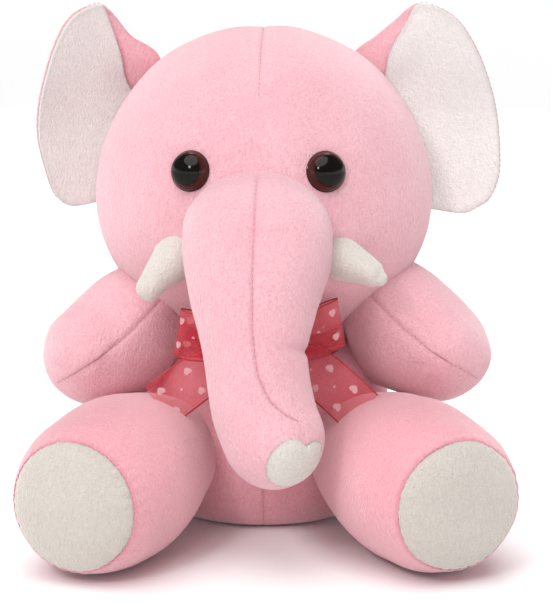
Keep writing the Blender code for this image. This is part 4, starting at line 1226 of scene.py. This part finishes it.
TAILS = {                   # line of the tail's middle from under the knot to its end
    "left": [(0.000, -0.0682, 0.0985), (0.014, -0.0705, 0.0965), (0.0275, -0.0730, 0.0905),
             (0.0390, -0.0755, 0.0815), (0.0500, -0.0775, 0.0712)],
    "right": [(-0.006, -0.0682, 0.0985), (-0.018, -0.0705, 0.0965), (-0.0300, -0.0730, 0.0905),
              (-0.0415, -0.0750, 0.0826), (-0.0530, -0.0765, 0.0742)],
}
for side_name, course in TAILS.items():
    line = smooth_line(course, 12)
    ups, widths, fronts = [], [], []
    for step, point in enumerate(line):
        before, after = line[max(0, step - 1)], line[min(len(line) - 1, step + 1)]
        way = (after - before).normalized()
        ups.append(FACING.cross(way).normalized() * math.copysign(1.0, -way.x))
        share = step / (len(line) - 1)
        widths.append(0.0110 + (RIBBON_WIDTH - 0.0110) * min(1.0, share * 2.6) ** 0.8)
        fronts.append(FACING)
    rows = gathered_rows(line, ups, widths, fronts)
    for row, point in zip(rows, line):
        for place in row:
            place.y += 0.0006 * math.sin(160.0 * (place.x + place.z))
    tail_length = sum((high - low).length for low, high in zip(line, line[1:]))
    strip = ribbon(f"bow_tail_ribbon_{side_name}", rows, tail_length)
    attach(strip, "torso")
    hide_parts(f"bow_tail_{side_name}")


def wrap_knot():
    """The short turn of ribbon that is pulled round the loops and tails, in upright folds."""
    line, ups, widths, fronts = [], [], [], []
    for step in range(49):
        turn = 2.0 * math.pi * step / 48
        out = Vector((0.0, -math.cos(turn), math.sin(turn)))
        line.append(KNOT_MIDDLE + Vector((0.0, out.y * 0.0042, out.z * 0.0074)))
        ups.append(Vector((1.0, 0.0, 0.0)))
        widths.append(0.0120)
        fronts.append(out)
    rows = gathered_rows(line, ups, widths, fronts, 5.0, 61)
    length = sum((high - low).length for low, high in zip(line, line[1:]))
    return ribbon("bow_knot_wrap", rows, length), round(length, 3)


knot, knot_length = wrap_knot()
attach(knot, "torso")
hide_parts("bow_knot")


def tie_neckband():
    """The ribbon round the neck, bunched to a narrow sloping band."""
    rise, run = math.sin(NECKBAND_SLOPE), math.cos(NECKBAND_SLOPE)
    up = Vector((0.0, 0.0, 1.0))
    line, ups, widths, fronts = [], [], [], []
    for step in range(145):
        turn = 2.0 * math.pi * step / 144
        out = Vector((math.cos(turn), math.sin(turn), 0.0))
        line.append(Vector((0.0405 * out.x, 0.0475 * out.y - 0.010, 0.0945)))
        ups.append(up * rise - out * run)
        widths.append(0.0068)
        fronts.append(out * rise + up * run)
    rows = gathered_rows(line, ups, widths, fronts, 3.0, 37)
    length = sum((high - low).length for low, high in zip(line, line[1:]))
    return ribbon("bow_neck_ribbon", rows, length), round(length, 3)


band, band_length = tie_neckband()
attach(band, "torso")
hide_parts("bow_neckband")


# ---- Studio --------------------------------------------------------------------------------------
# A plain white sweep with large soft lights, and the camera a little above the toy's head.

def white_sweep():
    """Painted white floor with a barely visible unevenness."""
    material, tree, shader = new_material("white_sweep", {"Roughness": 0.75, "Specular IOR Level": 0.1})
    place = add_node(tree, "ShaderNodeTexCoord", {}, {}, 3)
    cloud = add_node(tree, "ShaderNodeTexNoise", {}, {"Vector": place, "Scale": 1.5})
    colour = mix_colours(tree, cloud, (0.93, 0.93, 0.93), (0.90, 0.90, 0.90))
    tree.links.new(colour.socket, shader.inputs["Base Color"])
    return material


def white_wall():
    """The far end of the sweep, lit evenly, with the same slight unevenness."""
    material, tree, shader = new_material("white_wall", {"Roughness": 1.0, "Emission Strength": 0.85})
    place = add_node(tree, "ShaderNodeTexCoord", {}, {}, 3)
    cloud = add_node(tree, "ShaderNodeTexNoise", {}, {"Vector": place, "Scale": 0.6})
    colour = mix_colours(tree, cloud, (1.0, 1.0, 1.0), (0.96, 0.96, 0.96))
    tree.links.new(colour.socket, shader.inputs["Base Color"])
    tree.links.new(colour.socket, shader.inputs["Emission Color"])
    return material


SWEEP_RADIUS = 8.0
WALL_HEIGHT = 1.6
sweep = bpy.data.meshes.new("studio_sweep")
edge = [(SWEEP_RADIUS * math.cos(turn), SWEEP_RADIUS * math.sin(turn))
        for turn in even(0.0, 2.0 * math.pi, 65)[:-1]]
walls = [(step, (step + 1) % 64, 64 + (step + 1) % 64, 64 + step) for step in range(64)]
rings = [(x, y, height) for height in (0.0, WALL_HEIGHT) for x, y in edge]
sweep.from_pydata(rings, [], [tuple(range(64))] + walls)
sweep.materials.append(white_sweep())
sweep.materials.append(white_wall())
for face in sweep.polygons[1:]:
    face.material_index = 1
studio_sweep = bpy.data.objects.new("studio_sweep", sweep)
bpy.context.scene.collection.objects.link(studio_sweep)

world = bpy.data.worlds.new("studio")
world.use_nodes = True
world.node_tree.nodes["Background"].inputs["Color"].default_value = (1.0, 1.0, 1.0, 1.0)
world.node_tree.nodes["Background"].inputs["Strength"].default_value = 0.30
bpy.context.scene.world = world


def soft_light(name, kind, place, aim, energy, spread):
    """A soft light that faces a point: a wide distant one, or a square panel."""
    light = bpy.data.lights.new(name, kind)
    light.energy = energy
    if kind == "SUN":
        light.angle = math.radians(spread)
    else:
        light.size = spread
    lamp = bpy.data.objects.new(name, light)
    lamp.location = place
    lamp.rotation_euler = (Vector(aim) - Vector(place)).to_track_quat("-Z", "Y").to_euler()
    bpy.context.scene.collection.objects.link(lamp)


soft_light("overhead_light", "SUN", (-0.28, -0.58, 1.45), (0.0, 0.0, 0.0), 2.45, 60.0)
soft_light("window_softbox", "AREA", (-0.50, -1.1, 0.85), (0.0, 0.0, 0.15), 3.2, 0.20)
soft_light("rear_softbox", "AREA", (0.05, 0.75, 1.05), (0.0, 0.0, 0.22), 7.0, 0.60)

camera_data = bpy.data.cameras.new("camera")
camera_data.sensor_fit = "VERTICAL"
camera_data.sensor_height = 24.0
camera_data.lens = 87.14
camera = bpy.data.objects.new("camera", camera_data)
camera.location = (0.0068, -1.17378, 0.35949)
camera.rotation_euler = (math.radians(78.0), 0.0, 0.0)
bpy.context.scene.collection.objects.link(camera)
bpy.context.scene.camera = camera
bpy.context.scene.view_settings.view_transform = "Standard"
